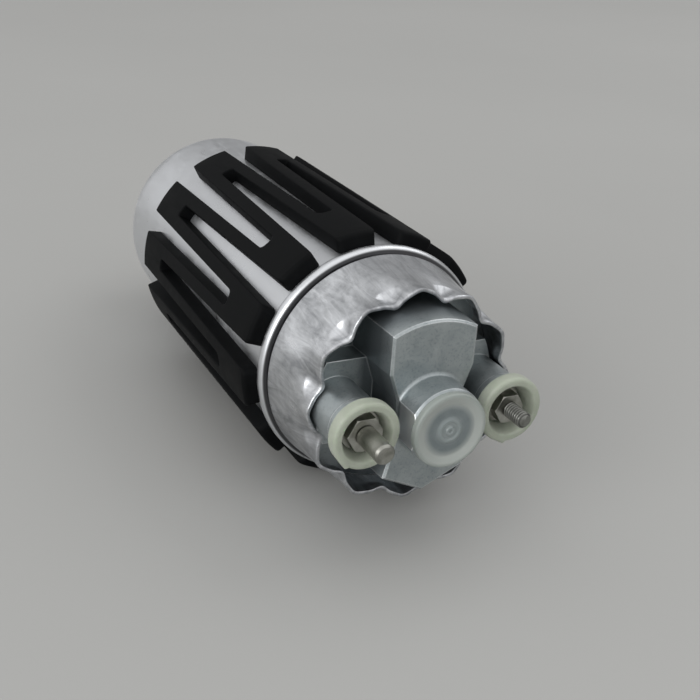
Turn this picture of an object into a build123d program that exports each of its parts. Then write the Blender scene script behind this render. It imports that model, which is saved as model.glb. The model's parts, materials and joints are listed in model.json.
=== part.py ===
from build123d import *
import math
import os

# Inline electric fuel pump of the roller-cell kind, lying on its rubber sleeve.
# Millimetres. The pump's axis runs along Y, the terminals face -Y and the inlet +Y.
# The origin is under the middle of the pump, on the surface it lies on.
# Distances along the pump are counted from the bead that rings the can.

# Can: barrel, rounded inlet shoulder, bead and crimped skirt
can_radius = 30.0
can_wall = 1.5
barrel_length = 112.0
shoulder_radius = 16.0
bead_height = 1.0
bead_half_width = 1.6
groove_width = 0.9
groove_depth = 0.35
skirt_sheet = 1.0
skirt_length = 22.8
skirt_step = 0.6
skirt_draw = 2.5
wave_count = 12
wave_height = 1.4
wave_start = 12.0
wave_middle = 18.0
wave_middle_share = 0.4

# Rubber sleeve: one strip folded back and forth round the barrel
sleeve_thickness = 4.0
sleeve_gap = 0.8
sleeve_length = 85.2
cell_count = 12
first_pad_angle = 98.0
front_pad_length = 18.4
back_pad_length = 16.1
front_slot_mouth = 7.1
back_slot_mouth = 6.6
front_slot_end = 3.6
back_slot_end = 4.2
slot_draft = 0.35
pad_edge_radius = 2.2
rest_flat = 0.5

# Working clearances
slip = 0.05
running = 0.03
side_play = 0.04
seat_gap = 0.1
guide_play = 0.1

# Die-cast end cap
end_plate_thickness = 6.0
end_ring_depth = 6.0
end_ring_wall = 3.45
o_ring_section = 0.85
o_ring_sides = 8
o_ring_distance = 2.4
o_ring_side_room = 0.35
bridge_distance = 31.0
bridge_arc_share = 0.783
bridge_half_width = 11.1
bridge_neck = 8.9
bridge_shoulder_height = 11.0
bridge_neck_height = 4.5
bridge_foot_height = 7.5
bridge_corner_height = 16.0
bridge_tip_height = 21.3
bridge_draft = 1.5
cast_edge = 0.5
pad_distance = 19.0
pad_half_height = 10.8
pad_inner_width = 7.0
pad_outer_share = 0.807
tower_share = 0.23
terminal_spread_share = 0.64
terminal_bore = 3.6

# Outlet boss and its threaded port
boss_share = 0.323
boss_flat_cut = 1.1
boss_height = 8.0
boss_foot_radius = 0.9
boss_chamfer = 0.5
outlet_mouth_radius = 6.4
outlet_mouth_depth = 4.0
outlet_thread_radius = 5.25
outlet_thread_depth = 14.5
outlet_port_radius = 2.6

# Protective plug on the outlet
plug_radius = 10.0
plug_thickness = 2.0
plug_stem_play = 0.1
plug_stem_length = 3.6
plug_wall = 0.7
plug_ring_outer = 6.6
plug_ring_inner = 3.4
plug_ring_depth = 0.5
plug_ring_width = 1.0
plug_nub_radius = 1.0
plug_rim_round = 0.5

# Check valve in the outlet
valve_chamber_radius = 4.6
valve_floor_distance = 14.0
poppet_radius = 3.9
poppet_thickness = 2.0
poppet_stem_radius = 1.4
poppet_nose_radius = 1.6
poppet_nose_length = 1.4
poppet_guide_inset = 0.6
seal_thickness = 1.0
retainer_thickness = 1.7
retainer_slots = 3
retainer_slot_radius = 1.0
retainer_slot_circle = 3.0
valve_spring_radius = 2.9
valve_spring_wire = 0.3
valve_spring_turns = 5

# Terminal studs with their insulators, washers and nuts
insulator_share = 0.3
insulator_height = 5.0
insulator_recess_share = 0.19
insulator_recess_depth = 4.0
insulator_round = 0.8
inner_insulator_room = 0.2
inner_insulator_thickness = 1.5
stud_head_thickness = 3.0
stud_head_radius = 4.2
stud_chamfer = 0.5
stud_thread_room = 0.3
large_stud_radius = 2.5
large_stud_core = 2.1
large_stud_reach = 45.6
large_nut_flats = 8.0
large_washer_radius = 5.0
small_stud_radius = 2.0
small_stud_core = 1.65
small_stud_reach = 42.7
small_nut_flats = 7.0
small_washer_radius = 4.5
washer_thickness = 1.0
nut_thickness = 3.0
nut_edge = 0.4

# Brush gear and interference suppression
hub_radius = 9.5
hub_reach = 2.0
bush_radius = 6.5
bush_length = 5.0
fuel_hole_radius = 1.2
holder_plate_thickness = 3.0
holder_bore_room = 1.5
holder_post_radius = 1.8
holder_post_x = 12.0
holder_post_inset = 8.0
brush_width = 6.0
brush_height = 7.4
brush_length = 8.2
brush_front_room = 1.5
guide_wall = 1.5
guide_start_room = 1.6
guide_end_inset = 2.2
guide_end_wall = 1.2
brush_spring_radius = 2.0
brush_spring_wire = 0.3
brush_spring_turns = 4
choke_radius = 3.2
choke_core_radius = 1.6
choke_length = 15.0
choke_inset = 5.7
choke_post_width = 1.4
choke_post_half_depth = 2.6
choke_flange = 1.0

# Motor
shaft_radius = 4.0
shaft_nose = 0.5
shaft_shoulder_radius = 5.2
commutator_step = 7.0
commutator_length = 10.8
commutator_bars = 12
bar_gap = 0.6
bar_gap_depth = 1.0
thrust_washer_radius = 6.0
thrust_washer_thickness = 1.0
thrust_play = 0.2
magnet_thickness = 6.85
armature_slots = 12
slot_mouth_half = 0.9
slot_root_depth = 8.2
tooth_root_half = 1.1259
slot_top_depth = 2.2
tooth_top_half = 1.3336
slot_liner = 0.2
end_turn_length = 7.0
end_turn_gap = 3.0
end_turn_inner = 6.5
end_turn_bevel = 1.5
air_gap = 0.6
flux_ring_wall = 3.0
magnet_arc = 140.0
magnet_overhang = 4.0
clip_sheet = 0.8
clip_leg_arc = 3.0
clip_leg_length = 4.95

# Roller-cell pump
base_plate_thickness = 7.0
pump_ring_thickness = 8.0
inlet_plate_thickness = 13.0
ring_bore_wall = 3.0
eccentricity = 1.8
rotor_gap = 0.3
shaft_flats = 6.4
roller_count = 5
roller_radius = 3.5
roller_pocket_play = 0.05
roller_track_gap = 0.1
pump_screw_inset = 4.45
pump_screw_count = 3
pump_screw_radius = 2.0
pump_screw_head_radius = 3.4
pump_screw_head_height = 3.0
screw_hole_play = 0.2
screw_socket_flats = 3.0
kidney_inset = 1.3
kidney_half_width = 1.9
kidney_arc = 80.0
relief_inset = 4.85
relief_passage_radius = 1.9
relief_bore_radius = 3.2
relief_ball_radius = 2.5
relief_seat_depth = 2.0
relief_ball_gap = 0.15
relief_plug_length = 2.5
relief_plug_hole = 1.2
relief_spring_radius = 1.9
relief_spring_wire = 0.35
relief_spring_turns = 3.5
coil_steps = 12
wire_sides = 6

# Inlet end
plate_boss_inset = 8.5
inlet_gallery_radius = 6.0
gallery_front_wall = 4.0
gallery_slot_half = 2.0
inlet_neck_radius = 10.0
inlet_neck_play = 0.2
inlet_neck_length = 15.0
inlet_channel_radius = 7.0
inlet_collar_flats = 27.0
inlet_collar_thickness = 4.0
inlet_boss_radius = 12.8
inlet_boss_length = 18.0
inlet_thread_radius = 8.25
inlet_thread_depth = 14.0
inlet_edge = 0.8
strainer_seat_radius = 7.7
strainer_flange_thickness = 1.2
strainer_root_radius = 6.5
strainer_tip_radius = 2.6
strainer_length = 14.0
strainer_sheet = 0.5

# Stations along the pump and radii, worked out from the sizes above
sleeve_radius = can_radius + sleeve_thickness
axis_height = sleeve_radius - rest_flat
inlet_reach = barrel_length + shoulder_radius + inlet_collar_thickness + inlet_boss_length
bead_y = (large_stud_reach - inlet_reach) / 2
bead_front = bead_y - bead_half_width
bead_back = bead_y + bead_half_width
skirt_start = bead_front - groove_width
wave_start_y = bead_y - wave_start
wave_middle_y = bead_y - wave_middle
rim_y = bead_y - skirt_length
shoulder_y = bead_y + barrel_length
back_face = shoulder_y + shoulder_radius
back_inner_face = back_face - can_wall
can_bore = can_radius - can_wall
flat_end_radius = can_radius - shoulder_radius
skirt_top_radius = can_radius - skirt_step
rim_mean_radius = skirt_top_radius - skirt_draw
inlet_end = back_face + inlet_collar_thickness + inlet_boss_length

end_plate_front = wave_start_y
end_plate_back = end_plate_front + end_plate_thickness
end_ring_back = bead_y + end_ring_depth
bridge_top = bead_y - bridge_distance
boss_top = bridge_top - boss_height
plug_front = boss_top - plug_thickness
valve_floor = bead_y - valve_floor_distance
outlet_mouth_end = boss_top + outlet_mouth_depth
outlet_thread_end = boss_top + outlet_thread_depth
hub_back = bead_y + hub_reach
bush_front = hub_back - bush_length
end_cap_radius = can_bore - slip
end_ring_radius = end_cap_radius - end_ring_wall
boss_radius = boss_share * can_radius
terminal_spread = terminal_spread_share * can_radius
inner_insulator_radius = end_ring_radius - terminal_spread - inner_insulator_room

inlet_plate_back = shoulder_y
inlet_plate_front = inlet_plate_back - inlet_plate_thickness
pump_ring_front = inlet_plate_front - pump_ring_thickness
base_plate_front = pump_ring_front - base_plate_thickness

commutator_front = hub_back + thrust_play + thrust_washer_thickness
commutator_back = commutator_front + commutator_length
stack_front = commutator_back + end_turn_gap + end_turn_length
stack_back = base_plate_front - end_turn_gap - end_turn_length - thrust_washer_thickness
flux_ring_radius = can_bore - slip
magnet_outer_radius = flux_ring_radius - flux_ring_wall
magnet_inner_radius = magnet_outer_radius - magnet_thickness
armature_radius = magnet_inner_radius - air_gap
commutator_radius = armature_radius - commutator_step
pump_screw_circle = flux_ring_radius - pump_screw_inset
relief_circle = flux_ring_radius - relief_inset
ring_bore_radius = pump_screw_circle - pump_screw_radius - ring_bore_wall
rotor_radius = ring_bore_radius - eccentricity - rotor_gap
kidney_radius = rotor_radius - kidney_inset

profile_plane = Plane(origin=(0, 0, axis_height), x_dir=(0, 1, 0), z_dir=(1, 0, 0))
pump_axis = Axis((0, 0, axis_height), (0, 1, 0))


def station(y):
    """Cross-section plane at a station, seen from the terminals: +X right, +Z up."""
    return Plane(origin=(0, y, axis_height), x_dir=(1, 0, 0), z_dir=(0, -1, 0))


def half_section(*corners):
    """Closed outline through (station, radius) corners in a plane that holds the pump's axis."""
    with BuildSketch(profile_plane) as section:
        with BuildLine():
            Polyline(*corners, close=True)
        make_face()
    return section.sketch


def off_axis_section(x, z, *corners):
    """Closed outline of (station, radius) corners about a line at x, z from the pump's axis."""
    plane = Plane(origin=(x, 0, axis_height + z), x_dir=(0, 1, 0), z_dir=(1, 0, 0))
    with BuildSketch(plane) as section:
        with BuildLine():
            Polyline(*corners, close=True)
        make_face()
    return section.sketch


def line_at(x, z):
    """Axis that runs along the pump at x, z from its centre."""
    return Axis((x, 0, axis_height + z), (0, 1, 0))


def skirt_radius(y):
    """Mean outer radius of the inward-sloping skirt at a station."""
    share = (skirt_start - y) / (skirt_start - rim_y)
    return skirt_top_radius + share * (rim_mean_radius - skirt_top_radius)


def wave_points(radius, height):
    """Points of a closed wave round the pump, with one crest on +X."""
    count = 4 * wave_count
    points = []
    for index in range(count):
        angle = 2 * math.pi * index / count
        reach = radius + height * math.cos(wave_count * angle)
        points.append((reach * math.cos(angle), reach * math.sin(angle)))
    return points


def sector(inner, outer, middle, arc, mode=Mode.ADD):
    """Ring sector about the pump's axis, for use inside a sketch; angles in degrees."""
    start = middle - arc / 2
    with BuildSketch(mode=Mode.PRIVATE) as ring_sector:
        with BuildLine():
            inner_arc = CenterArc((0, 0), inner, start, arc)
            outer_arc = CenterArc((0, 0), outer, start, arc)
            Line(inner_arc @ 0, outer_arc @ 0)
            Line(inner_arc @ 1, outer_arc @ 1)
        make_face()
    add(ring_sector.sketch_local, mode=mode)


def slot_outline(inset):
    """Corners of one winding slot on +X, drawn in from the slot's walls by an inset."""
    return (
        (slot_root_radius + inset, slot_root_half - inset),
        (slot_top_radius - inset, slot_top_half - inset),
        (slot_top_radius - inset, inset - slot_top_half),
        (slot_root_radius + inset, inset - slot_root_half),
    )


def coil(start, direction, length, radius, wire, turns):
    """Spring of short straight lengths of wire: start is (x, station, z from the pump's axis)."""
    coil_plane = Plane(origin=(start[0], start[1], axis_height + start[2]), z_dir=direction)
    count = round(turns * coil_steps)
    points = []
    for index in range(count + 1):
        angle = 2 * math.pi * index / coil_steps
        place = (radius * math.cos(angle), radius * math.sin(angle), length * index / count)
        points.append(coil_plane.from_local_coords(Vector(*place)))
    with BuildPart(mode=Mode.PRIVATE) as spring:
        with BuildLine():
            path = Polyline(*points)
        with BuildSketch(Plane(origin=path @ 0, z_dir=path % 0)):
            RegularPolygon(wire, side_count=wire_sides)
        sweep(path=path, transition=Transition.RIGHT)
    add(spring.part)


# Housing: drawn can whose thin front edge is crimped in waves over the end cap
with BuildPart() as housing_can:
    with BuildSketch(profile_plane):
        with BuildLine():
            Polyline(
                (back_face, inlet_neck_radius + inlet_neck_play),
                (back_inner_face, inlet_neck_radius + inlet_neck_play),
                (back_inner_face, flat_end_radius),
            )
            RadiusArc(
                (back_inner_face, flat_end_radius),
                (shoulder_y, can_bore),
                can_wall - shoulder_radius,
            )
            Polyline(
                (shoulder_y, can_bore),
                (bead_front, can_bore),
                (wave_start_y, skirt_radius(wave_start_y) - skirt_sheet),
                (wave_start_y, skirt_radius(wave_start_y)),
                (skirt_start, skirt_top_radius),
                (skirt_start, skirt_top_radius - groove_depth),
                (bead_front, skirt_top_radius - groove_depth),
                (bead_front, can_radius),
            )
            ThreePointArc(
                (bead_front, can_radius),
                (bead_y, can_radius + bead_height),
                (bead_back, can_radius),
            )
            Line((bead_back, can_radius), (shoulder_y, can_radius))
            RadiusArc((shoulder_y, can_radius), (back_face, flat_end_radius), shoulder_radius)
            Line(
                (back_face, flat_end_radius),
                (back_face, inlet_neck_radius + inlet_neck_play),
            )
        make_face()
    revolve(axis=pump_axis)
    for sheet_inset, sheet_mode in ((0, Mode.ADD), (skirt_sheet, Mode.SUBTRACT)):
        with BuildSketch(station(wave_start_y)):
            Circle(skirt_radius(wave_start_y) - sheet_inset)
        for wave_y, wave_share in ((wave_middle_y, wave_middle_share), (rim_y, 1)):
            with BuildSketch(station(wave_y)):
                with BuildLine():
                    Spline(
                        *wave_points(
                            skirt_radius(wave_y) - sheet_inset,
                            wave_share * wave_height,
                        ),
                        periodic=True,
                    )
                make_face()
        loft(ruled=True, mode=sheet_mode)
housing_can.part.label = "housing_can"

# Rubber sleeve: a tube cut from both ends by tapered slots, so that one strip is left,
# and pressed flat where the pump lies on it
sleeve_front = bead_back + sleeve_gap
sleeve_back = sleeve_front + sleeve_length
cell_angle = 360 / cell_count
front_slot_length = sleeve_length - back_pad_length
back_slot_length = sleeve_length - front_pad_length

with BuildPart() as damping_sleeve:
    with BuildSketch(station(sleeve_back)):
        Circle(sleeve_radius)
        Circle(can_radius, mode=Mode.SUBTRACT)
    extrude(amount=sleeve_length)
    front_arcs = (
        edges()
        .filter_by(GeomType.CIRCLE)
        .group_by(Axis.Y)[0]
        .sort_by(SortBy.RADIUS)[-1:]
    )
    fillet(front_arcs, radius=pad_edge_radius)
    for cell in range(cell_count):
        for half_cell, mouth_y, reach, mouth, end in (
            (0.5, sleeve_front, front_slot_length, front_slot_mouth, front_slot_end),
            (0.0, sleeve_back, -back_slot_length, back_slot_mouth, back_slot_end),
        ):
            angle = math.radians(first_pad_angle + (cell + half_cell) * cell_angle)
            outward = Vector(math.cos(angle), 0, math.sin(angle))
            for depth, inset in ((0, 0), (sleeve_thickness + sleeve_gap, slot_draft)):
                slot_plane = Plane(
                    origin=Vector(0, 0, axis_height) + outward * (sleeve_radius - depth),
                    x_dir=(0, 1, 0),
                    z_dir=outward,
                )
                mouth_half = mouth / 2 - inset
                end_half = end / 2 - inset
                arc_start = mouth_y + reach - math.copysign(end / 2, reach)
                arc_end = mouth_y + reach - math.copysign(inset, reach)
                with BuildSketch(slot_plane):
                    with BuildLine():
                        Polyline(
                            (arc_start, end_half),
                            (mouth_y, mouth_half),
                            (mouth_y, -mouth_half),
                            (arc_start, -end_half),
                        )
                        ThreePointArc(
                            (arc_start, -end_half),
                            (arc_end, 0),
                            (arc_start, end_half),
                        )
                    make_face()
            loft(mode=Mode.SUBTRACT)
    split(bisect_by=Plane.XY, keep=Keep.TOP)
damping_sleeve.part.label = "damping_sleeve"

# End cap: plug in the can, cone under the skirt, two terminal towers and the outlet bridge
o_ring_centre = bead_y + o_ring_distance
o_ring_room = o_ring_section + o_ring_side_room
groove_floor = can_bore - 2 * o_ring_section
bridge_arc_radius = bridge_arc_share * can_radius
pad_outer_radius = pad_outer_share * can_radius
tower_radius = tower_share * can_radius
cone_end_radius = skirt_radius(end_plate_front) - skirt_sheet - slip
fuel_hole_y = bush_front - bush_length / 4

with BuildPart() as outlet_boss:
    with BuildSketch(profile_plane):
        with BuildLine():
            Polyline(
                (bridge_top - boss_foot_radius, boss_radius),
                (boss_top + boss_chamfer, boss_radius),
                (boss_top, boss_radius - boss_chamfer),
                (boss_top, 0),
                (bridge_top, 0),
                (bridge_top, boss_radius + boss_foot_radius),
            )
            RadiusArc(
                (bridge_top, boss_radius + boss_foot_radius),
                (bridge_top - boss_foot_radius, boss_radius),
                boss_foot_radius,
            )
        make_face()
    revolve(axis=pump_axis)
    with BuildSketch(station(bridge_top)):
        Rectangle(2 * (boss_radius - boss_flat_cut), 4 * boss_radius)
    extrude(amount=boss_height, mode=Mode.INTERSECT)

with BuildPart() as end_cap:
    revolve(
        half_section(
            (end_plate_front, 0),
            (end_plate_front, cone_end_radius),
            (bead_front, end_cap_radius),
            (o_ring_centre - o_ring_room, end_cap_radius),
            (o_ring_centre - o_ring_room, groove_floor),
            (o_ring_centre + o_ring_room, groove_floor),
            (o_ring_centre + o_ring_room, end_cap_radius),
            (end_ring_back, end_cap_radius),
            (end_ring_back, end_ring_radius),
            (end_plate_back, end_ring_radius),
            (end_plate_back, hub_radius),
            (hub_back, hub_radius),
            (hub_back, 0),
        ),
        axis=pump_axis,
    )
    with BuildSketch(station(end_plate_front)):
        Circle(pad_outer_radius)
        Rectangle(2 * pad_outer_radius, 2 * pad_half_height, mode=Mode.INTERSECT)
        Rectangle(2 * pad_inner_width, 2 * pad_half_height, mode=Mode.SUBTRACT)
    extrude(amount=pad_distance - wave_start)
    with BuildSketch(station(end_plate_front)):
        with Locations((-terminal_spread, 0), (terminal_spread, 0)):
            Circle(tower_radius)
    extrude(amount=bridge_distance - wave_start)
    with BuildSketch(station(bridge_top)):
        with BuildLine():
            arc_corner = math.sqrt(bridge_arc_radius**2 - bridge_half_width**2)
            ThreePointArc(
                (-bridge_half_width, arc_corner),
                (0, bridge_arc_radius),
                (bridge_half_width, arc_corner),
            )
            Polyline(
                (bridge_half_width, arc_corner),
                (bridge_half_width, bridge_shoulder_height),
                (bridge_neck, bridge_neck_height),
                (bridge_neck, -bridge_foot_height),
                (bridge_half_width, -bridge_corner_height),
                (0, -bridge_tip_height),
                (-bridge_half_width, -bridge_corner_height),
                (-bridge_neck, -bridge_foot_height),
                (-bridge_neck, bridge_neck_height),
                (-bridge_half_width, bridge_shoulder_height),
                (-bridge_half_width, arc_corner),
            )
        make_face()
    extrude(amount=wave_start - bridge_distance, taper=-bridge_draft)
    bridge_rim = faces().filter_by(Axis.Y).group_by(Axis.Y)[0].sort_by(Axis.X)[1].outer_wire().edges()
    chamfer(bridge_rim, length=cast_edge)
    add(outlet_boss.part)
    revolve(
        half_section(
            (boss_top, 0),
            (boss_top, outlet_mouth_radius),
            (outlet_mouth_end, outlet_mouth_radius),
            (outlet_mouth_end, outlet_thread_radius),
            (outlet_thread_end, outlet_thread_radius),
            (outlet_thread_end, valve_chamber_radius),
            (valve_floor, valve_chamber_radius),
            (valve_floor, outlet_port_radius),
            (bush_front - bush_length / 2, outlet_port_radius),
            (bush_front - bush_length / 2, bush_radius - running),
            (bush_front, bush_radius - running),
            (bush_front, bush_radius),
            (hub_back, bush_radius),
            (hub_back, 0),
        ),
        axis=pump_axis,
        mode=Mode.SUBTRACT,
    )
    with BuildSketch(station(end_plate_back)):
        with Locations((-terminal_spread, 0), (terminal_spread, 0)):
            Circle(terminal_bore)
    extrude(amount=bridge_distance, mode=Mode.SUBTRACT)
    with BuildSketch(Plane(origin=(0, fuel_hole_y, axis_height - hub_radius))):
        Circle(fuel_hole_radius)
    extrude(amount=2 * hub_radius, mode=Mode.SUBTRACT)
end_cap.part.label = "end_cap"

# O-ring in the end cap's groove, pressed against the can
with BuildPart() as end_cap_o_ring:
    with BuildSketch(profile_plane):
        with Locations((o_ring_centre, can_bore - o_ring_section)):
            RegularPolygon(
                o_ring_section,
                side_count=o_ring_sides,
                major_radius=False,
                rotation=180 / o_ring_sides,
            )
    revolve(axis=pump_axis)
end_cap_o_ring.part.label = "end_cap_o_ring"

# Protective plug pushed into the mouth of the outlet
plug_stem_radius = outlet_mouth_radius - plug_stem_play
plug_groove_floor = plug_front + plug_ring_depth

with BuildPart() as outlet_plug:
    revolve(
        half_section(
            (plug_front, 0),
            (plug_front, plug_nub_radius),
            (plug_groove_floor, plug_nub_radius),
            (plug_groove_floor, plug_ring_inner - plug_ring_width),
            (plug_front, plug_ring_inner - plug_ring_width),
            (plug_front, plug_ring_inner),
            (plug_groove_floor, plug_ring_inner),
            (plug_groove_floor, plug_ring_outer),
            (plug_front, plug_ring_outer),
            (plug_front, plug_radius - plug_rim_round),
            (plug_front + plug_rim_round, plug_radius),
            (boss_top, plug_radius),
            (boss_top, plug_stem_radius),
            (boss_top + plug_stem_length, plug_stem_radius - plug_stem_play),
            (boss_top + plug_stem_length, plug_stem_radius - plug_wall),
            (boss_top, plug_stem_radius - plug_wall),
            (boss_top, 0),
        ),
        axis=pump_axis,
    )
outlet_plug.part.label = "outlet_plug"

# Check valve: a poppet with a rubber seal, pushed on its seat by a spring under a retainer
seal_front = valve_floor - seal_thickness
poppet_front = seal_front - poppet_thickness
retainer_back = outlet_thread_end + retainer_thickness
poppet_tip = outlet_thread_end + poppet_guide_inset

with BuildPart() as check_valve_poppet:
    revolve(
        half_section(
            (poppet_tip, 0),
            (poppet_tip, poppet_stem_radius),
            (poppet_front, poppet_stem_radius),
            (poppet_front, poppet_radius),
            (seal_front, poppet_radius),
            (seal_front, poppet_nose_radius),
            (valve_floor, poppet_nose_radius),
            (valve_floor + poppet_nose_length, 0),
        ),
        axis=pump_axis,
    )
check_valve_poppet.part.label = "check_valve_poppet"

with BuildPart() as check_valve_seal:
    with BuildSketch(station(valve_floor)):
        Circle(poppet_radius)
        Circle(poppet_nose_radius, mode=Mode.SUBTRACT)
    extrude(amount=seal_thickness)
check_valve_seal.part.label = "check_valve_seal"

with BuildPart() as check_valve_retainer:
    with BuildSketch(station(retainer_back)):
        Circle(valve_chamber_radius)
        Circle(poppet_stem_radius + guide_play, mode=Mode.SUBTRACT)
        with PolarLocations(retainer_slot_circle, retainer_slots):
            Circle(retainer_slot_radius, mode=Mode.SUBTRACT)
    extrude(amount=retainer_thickness)
check_valve_retainer.part.label = "check_valve_retainer"

with BuildPart() as check_valve_spring:
    coil(
        (0, retainer_back + valve_spring_wire, 0),
        (0, 1, 0),
        poppet_front - retainer_back - 2 * valve_spring_wire,
        valve_spring_radius,
        valve_spring_wire,
        valve_spring_turns,
    )
check_valve_spring.part.label = "check_valve_spring"

# Terminals: one large and one small stud, each with its insulator, washer and nut
insulator_front = bridge_top - insulator_height
insulator_radius = insulator_share * can_radius
insulator_recess_radius = insulator_recess_share * can_radius
recess_floor = insulator_front + insulator_recess_depth
washer_front = recess_floor - washer_thickness
nut_front = washer_front - nut_thickness
thread_start = nut_front - stud_thread_room
inner_insulator_back = end_plate_back + inner_insulator_thickness
stud_back = inner_insulator_back + stud_head_thickness
terminals = (
    (
        "large",
        -terminal_spread,
        large_stud_radius,
        large_stud_core,
        large_stud_reach,
        large_nut_flats,
        large_washer_radius,
    ),
    (
        "small",
        terminal_spread,
        small_stud_radius,
        small_stud_core,
        small_stud_reach,
        small_nut_flats,
        small_washer_radius,
    ),
)
terminal_pieces = []
for size_name, side_x, stud_radius, core_radius, stud_reach, nut_flats, washer_radius in terminals:
    stud_tip = bead_y - stud_reach
    stud_line = line_at(side_x, 0)

    with BuildPart() as terminal_stud:
        with BuildSketch(station(stud_back)):
            with Locations((side_x, 0)):
                RegularPolygon(stud_head_radius, side_count=6)
        extrude(amount=stud_head_thickness)
        with BuildSketch(station(stud_back)):
            with Locations((side_x, 0)):
                Circle(core_radius)
        extrude(amount=stud_back - thread_start)
        with BuildSketch(station(thread_start)):
            with Locations((side_x, 0)):
                Circle(stud_radius)
        extrude(amount=thread_start - stud_tip)
        tip_edge = edges().filter_by(GeomType.CIRCLE).sort_by(Axis.Y)[0]
        chamfer(tip_edge, length=stud_chamfer)
    terminal_stud.part.label = f"{size_name}_terminal_stud"

    with BuildPart() as terminal_insulator:
        revolve(
            off_axis_section(
                side_x,
                0,
                (insulator_front, insulator_recess_radius),
                (insulator_front, insulator_radius - insulator_round),
                (insulator_front + insulator_round, insulator_radius),
                (bridge_top, insulator_radius),
                (bridge_top, terminal_bore),
                (end_plate_back, terminal_bore),
                (end_plate_back, core_radius),
                (recess_floor, core_radius),
                (recess_floor, insulator_recess_radius),
            ),
            axis=stud_line,
        )
    terminal_insulator.part.label = f"{size_name}_terminal_insulator"

    with BuildPart() as terminal_washer:
        with BuildSketch(station(recess_floor)):
            with Locations((side_x, 0)):
                Circle(washer_radius)
                Circle(core_radius, mode=Mode.SUBTRACT)
        extrude(amount=washer_thickness)
    terminal_washer.part.label = f"{size_name}_terminal_washer"

    with BuildPart() as terminal_nut:
        with BuildSketch(station(washer_front)):
            with Locations((side_x, 0)):
                RegularPolygon(nut_flats / 2, side_count=6, major_radius=False)
        extrude(amount=nut_thickness)
        nut_corner = nut_flats / math.sqrt(3)
        revolve(
            off_axis_section(
                side_x,
                0,
                (nut_front, 0),
                (nut_front, nut_corner - nut_edge),
                (nut_front + nut_edge / 2, nut_corner),
                (washer_front, nut_corner),
                (washer_front, 0),
            ),
            axis=stud_line,
            mode=Mode.INTERSECT,
        )
        with BuildSketch(station(washer_front)):
            with Locations((side_x, 0)):
                Circle(core_radius)
        extrude(amount=nut_thickness, mode=Mode.SUBTRACT)
    terminal_nut.part.label = f"{size_name}_terminal_nut"

    with BuildPart() as inner_insulator:
        with BuildSketch(station(inner_insulator_back)):
            with Locations((side_x, 0)):
                Circle(inner_insulator_radius)
                Circle(core_radius, mode=Mode.SUBTRACT)
        extrude(amount=inner_insulator_thickness)
    inner_insulator.part.label = f"{size_name}_inner_insulator"
    terminal_pieces += [
        terminal_stud,
        terminal_insulator,
        terminal_washer,
        terminal_nut,
        inner_insulator,
    ]

# Brush holder: a moulded plate on four feet, with two brush guides and two choke cradles
holder_back = bead_y + holder_plate_thickness
holder_post_z = end_ring_radius - holder_post_inset
guide_start_radius = commutator_radius + guide_start_room
guide_end_radius = end_ring_radius - guide_end_inset
choke_height = end_ring_radius - choke_inset
brush_front = holder_back + brush_front_room
brush_back = brush_front + brush_height
guide_back = brush_back + guide_play + guide_wall
guide_half = brush_width / 2 + guide_play
guide_outer_half = guide_half + guide_wall
guide_outer_end = guide_end_radius + guide_end_wall
choke_y = holder_back + choke_radius
choke_post_end = choke_length / 2 + choke_post_width

with BuildPart() as brush_holder:
    with BuildSketch(station(holder_back)):
        Circle(end_ring_radius - slip)
        Circle(commutator_radius + holder_bore_room, mode=Mode.SUBTRACT)
    extrude(amount=holder_plate_thickness)
    with BuildSketch(station(bead_y)):
        with GridLocations(2 * holder_post_x, 2 * holder_post_z, 2, 2):
            Circle(holder_post_radius)
    extrude(amount=bead_y - end_plate_back)
    for side in (-1, 1):
        guide_middle = side * (guide_start_radius + guide_outer_end) / 2
        channel_middle = side * (guide_start_radius + guide_end_radius) / 2
        with BuildSketch(station(guide_back)):
            with Locations((guide_middle, 0)):
                Rectangle(guide_outer_end - guide_start_radius, 2 * guide_outer_half)
        extrude(amount=guide_back - holder_back)
        with BuildSketch(station(brush_back + guide_play)):
            with Locations((channel_middle, 0)):
                Rectangle(guide_end_radius - guide_start_radius, 2 * guide_half)
        extrude(amount=brush_height + 2 * guide_play, mode=Mode.SUBTRACT)
        for end in (-1, 1):
            post_middle = end * (choke_length + choke_post_width) / 2
            with BuildSketch(station(choke_y + choke_core_radius + choke_flange)):
                with Locations((post_middle, side * choke_height)):
                    Rectangle(choke_post_width, 2 * choke_post_half_depth)
            extrude(amount=choke_radius + choke_core_radius + choke_flange)
        choke_end_plane = Plane(
            origin=(-choke_post_end, choke_y, axis_height + side * choke_height),
            z_dir=(1, 0, 0),
        )
        with BuildSketch(choke_end_plane):
            Circle(choke_core_radius)
        extrude(amount=2 * choke_post_end, mode=Mode.SUBTRACT)
brush_holder.part.label = "brush_holder"

# Chokes: a ferrite rod and a wound coil each, lying above and below the shaft
with BuildPart() as choke_cores:
    for side in (-1, 1):
        choke_end_plane = Plane(
            origin=(-choke_post_end, choke_y, axis_height + side * choke_height),
            z_dir=(1, 0, 0),
        )
        with BuildSketch(choke_end_plane):
            Circle(choke_core_radius)
        extrude(amount=2 * choke_post_end)
choke_cores.part.label = "choke_cores"

with BuildPart() as choke_coils:
    for side in (-1, 1):
        choke_coil_plane = Plane(
            origin=(-choke_length / 2, choke_y, axis_height + side * choke_height),
            z_dir=(1, 0, 0),
        )
        with BuildSketch(choke_coil_plane):
            Circle(choke_radius)
            Circle(choke_core_radius, mode=Mode.SUBTRACT)
        extrude(amount=choke_length)
choke_coils.part.label = "choke_coils"

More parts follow.
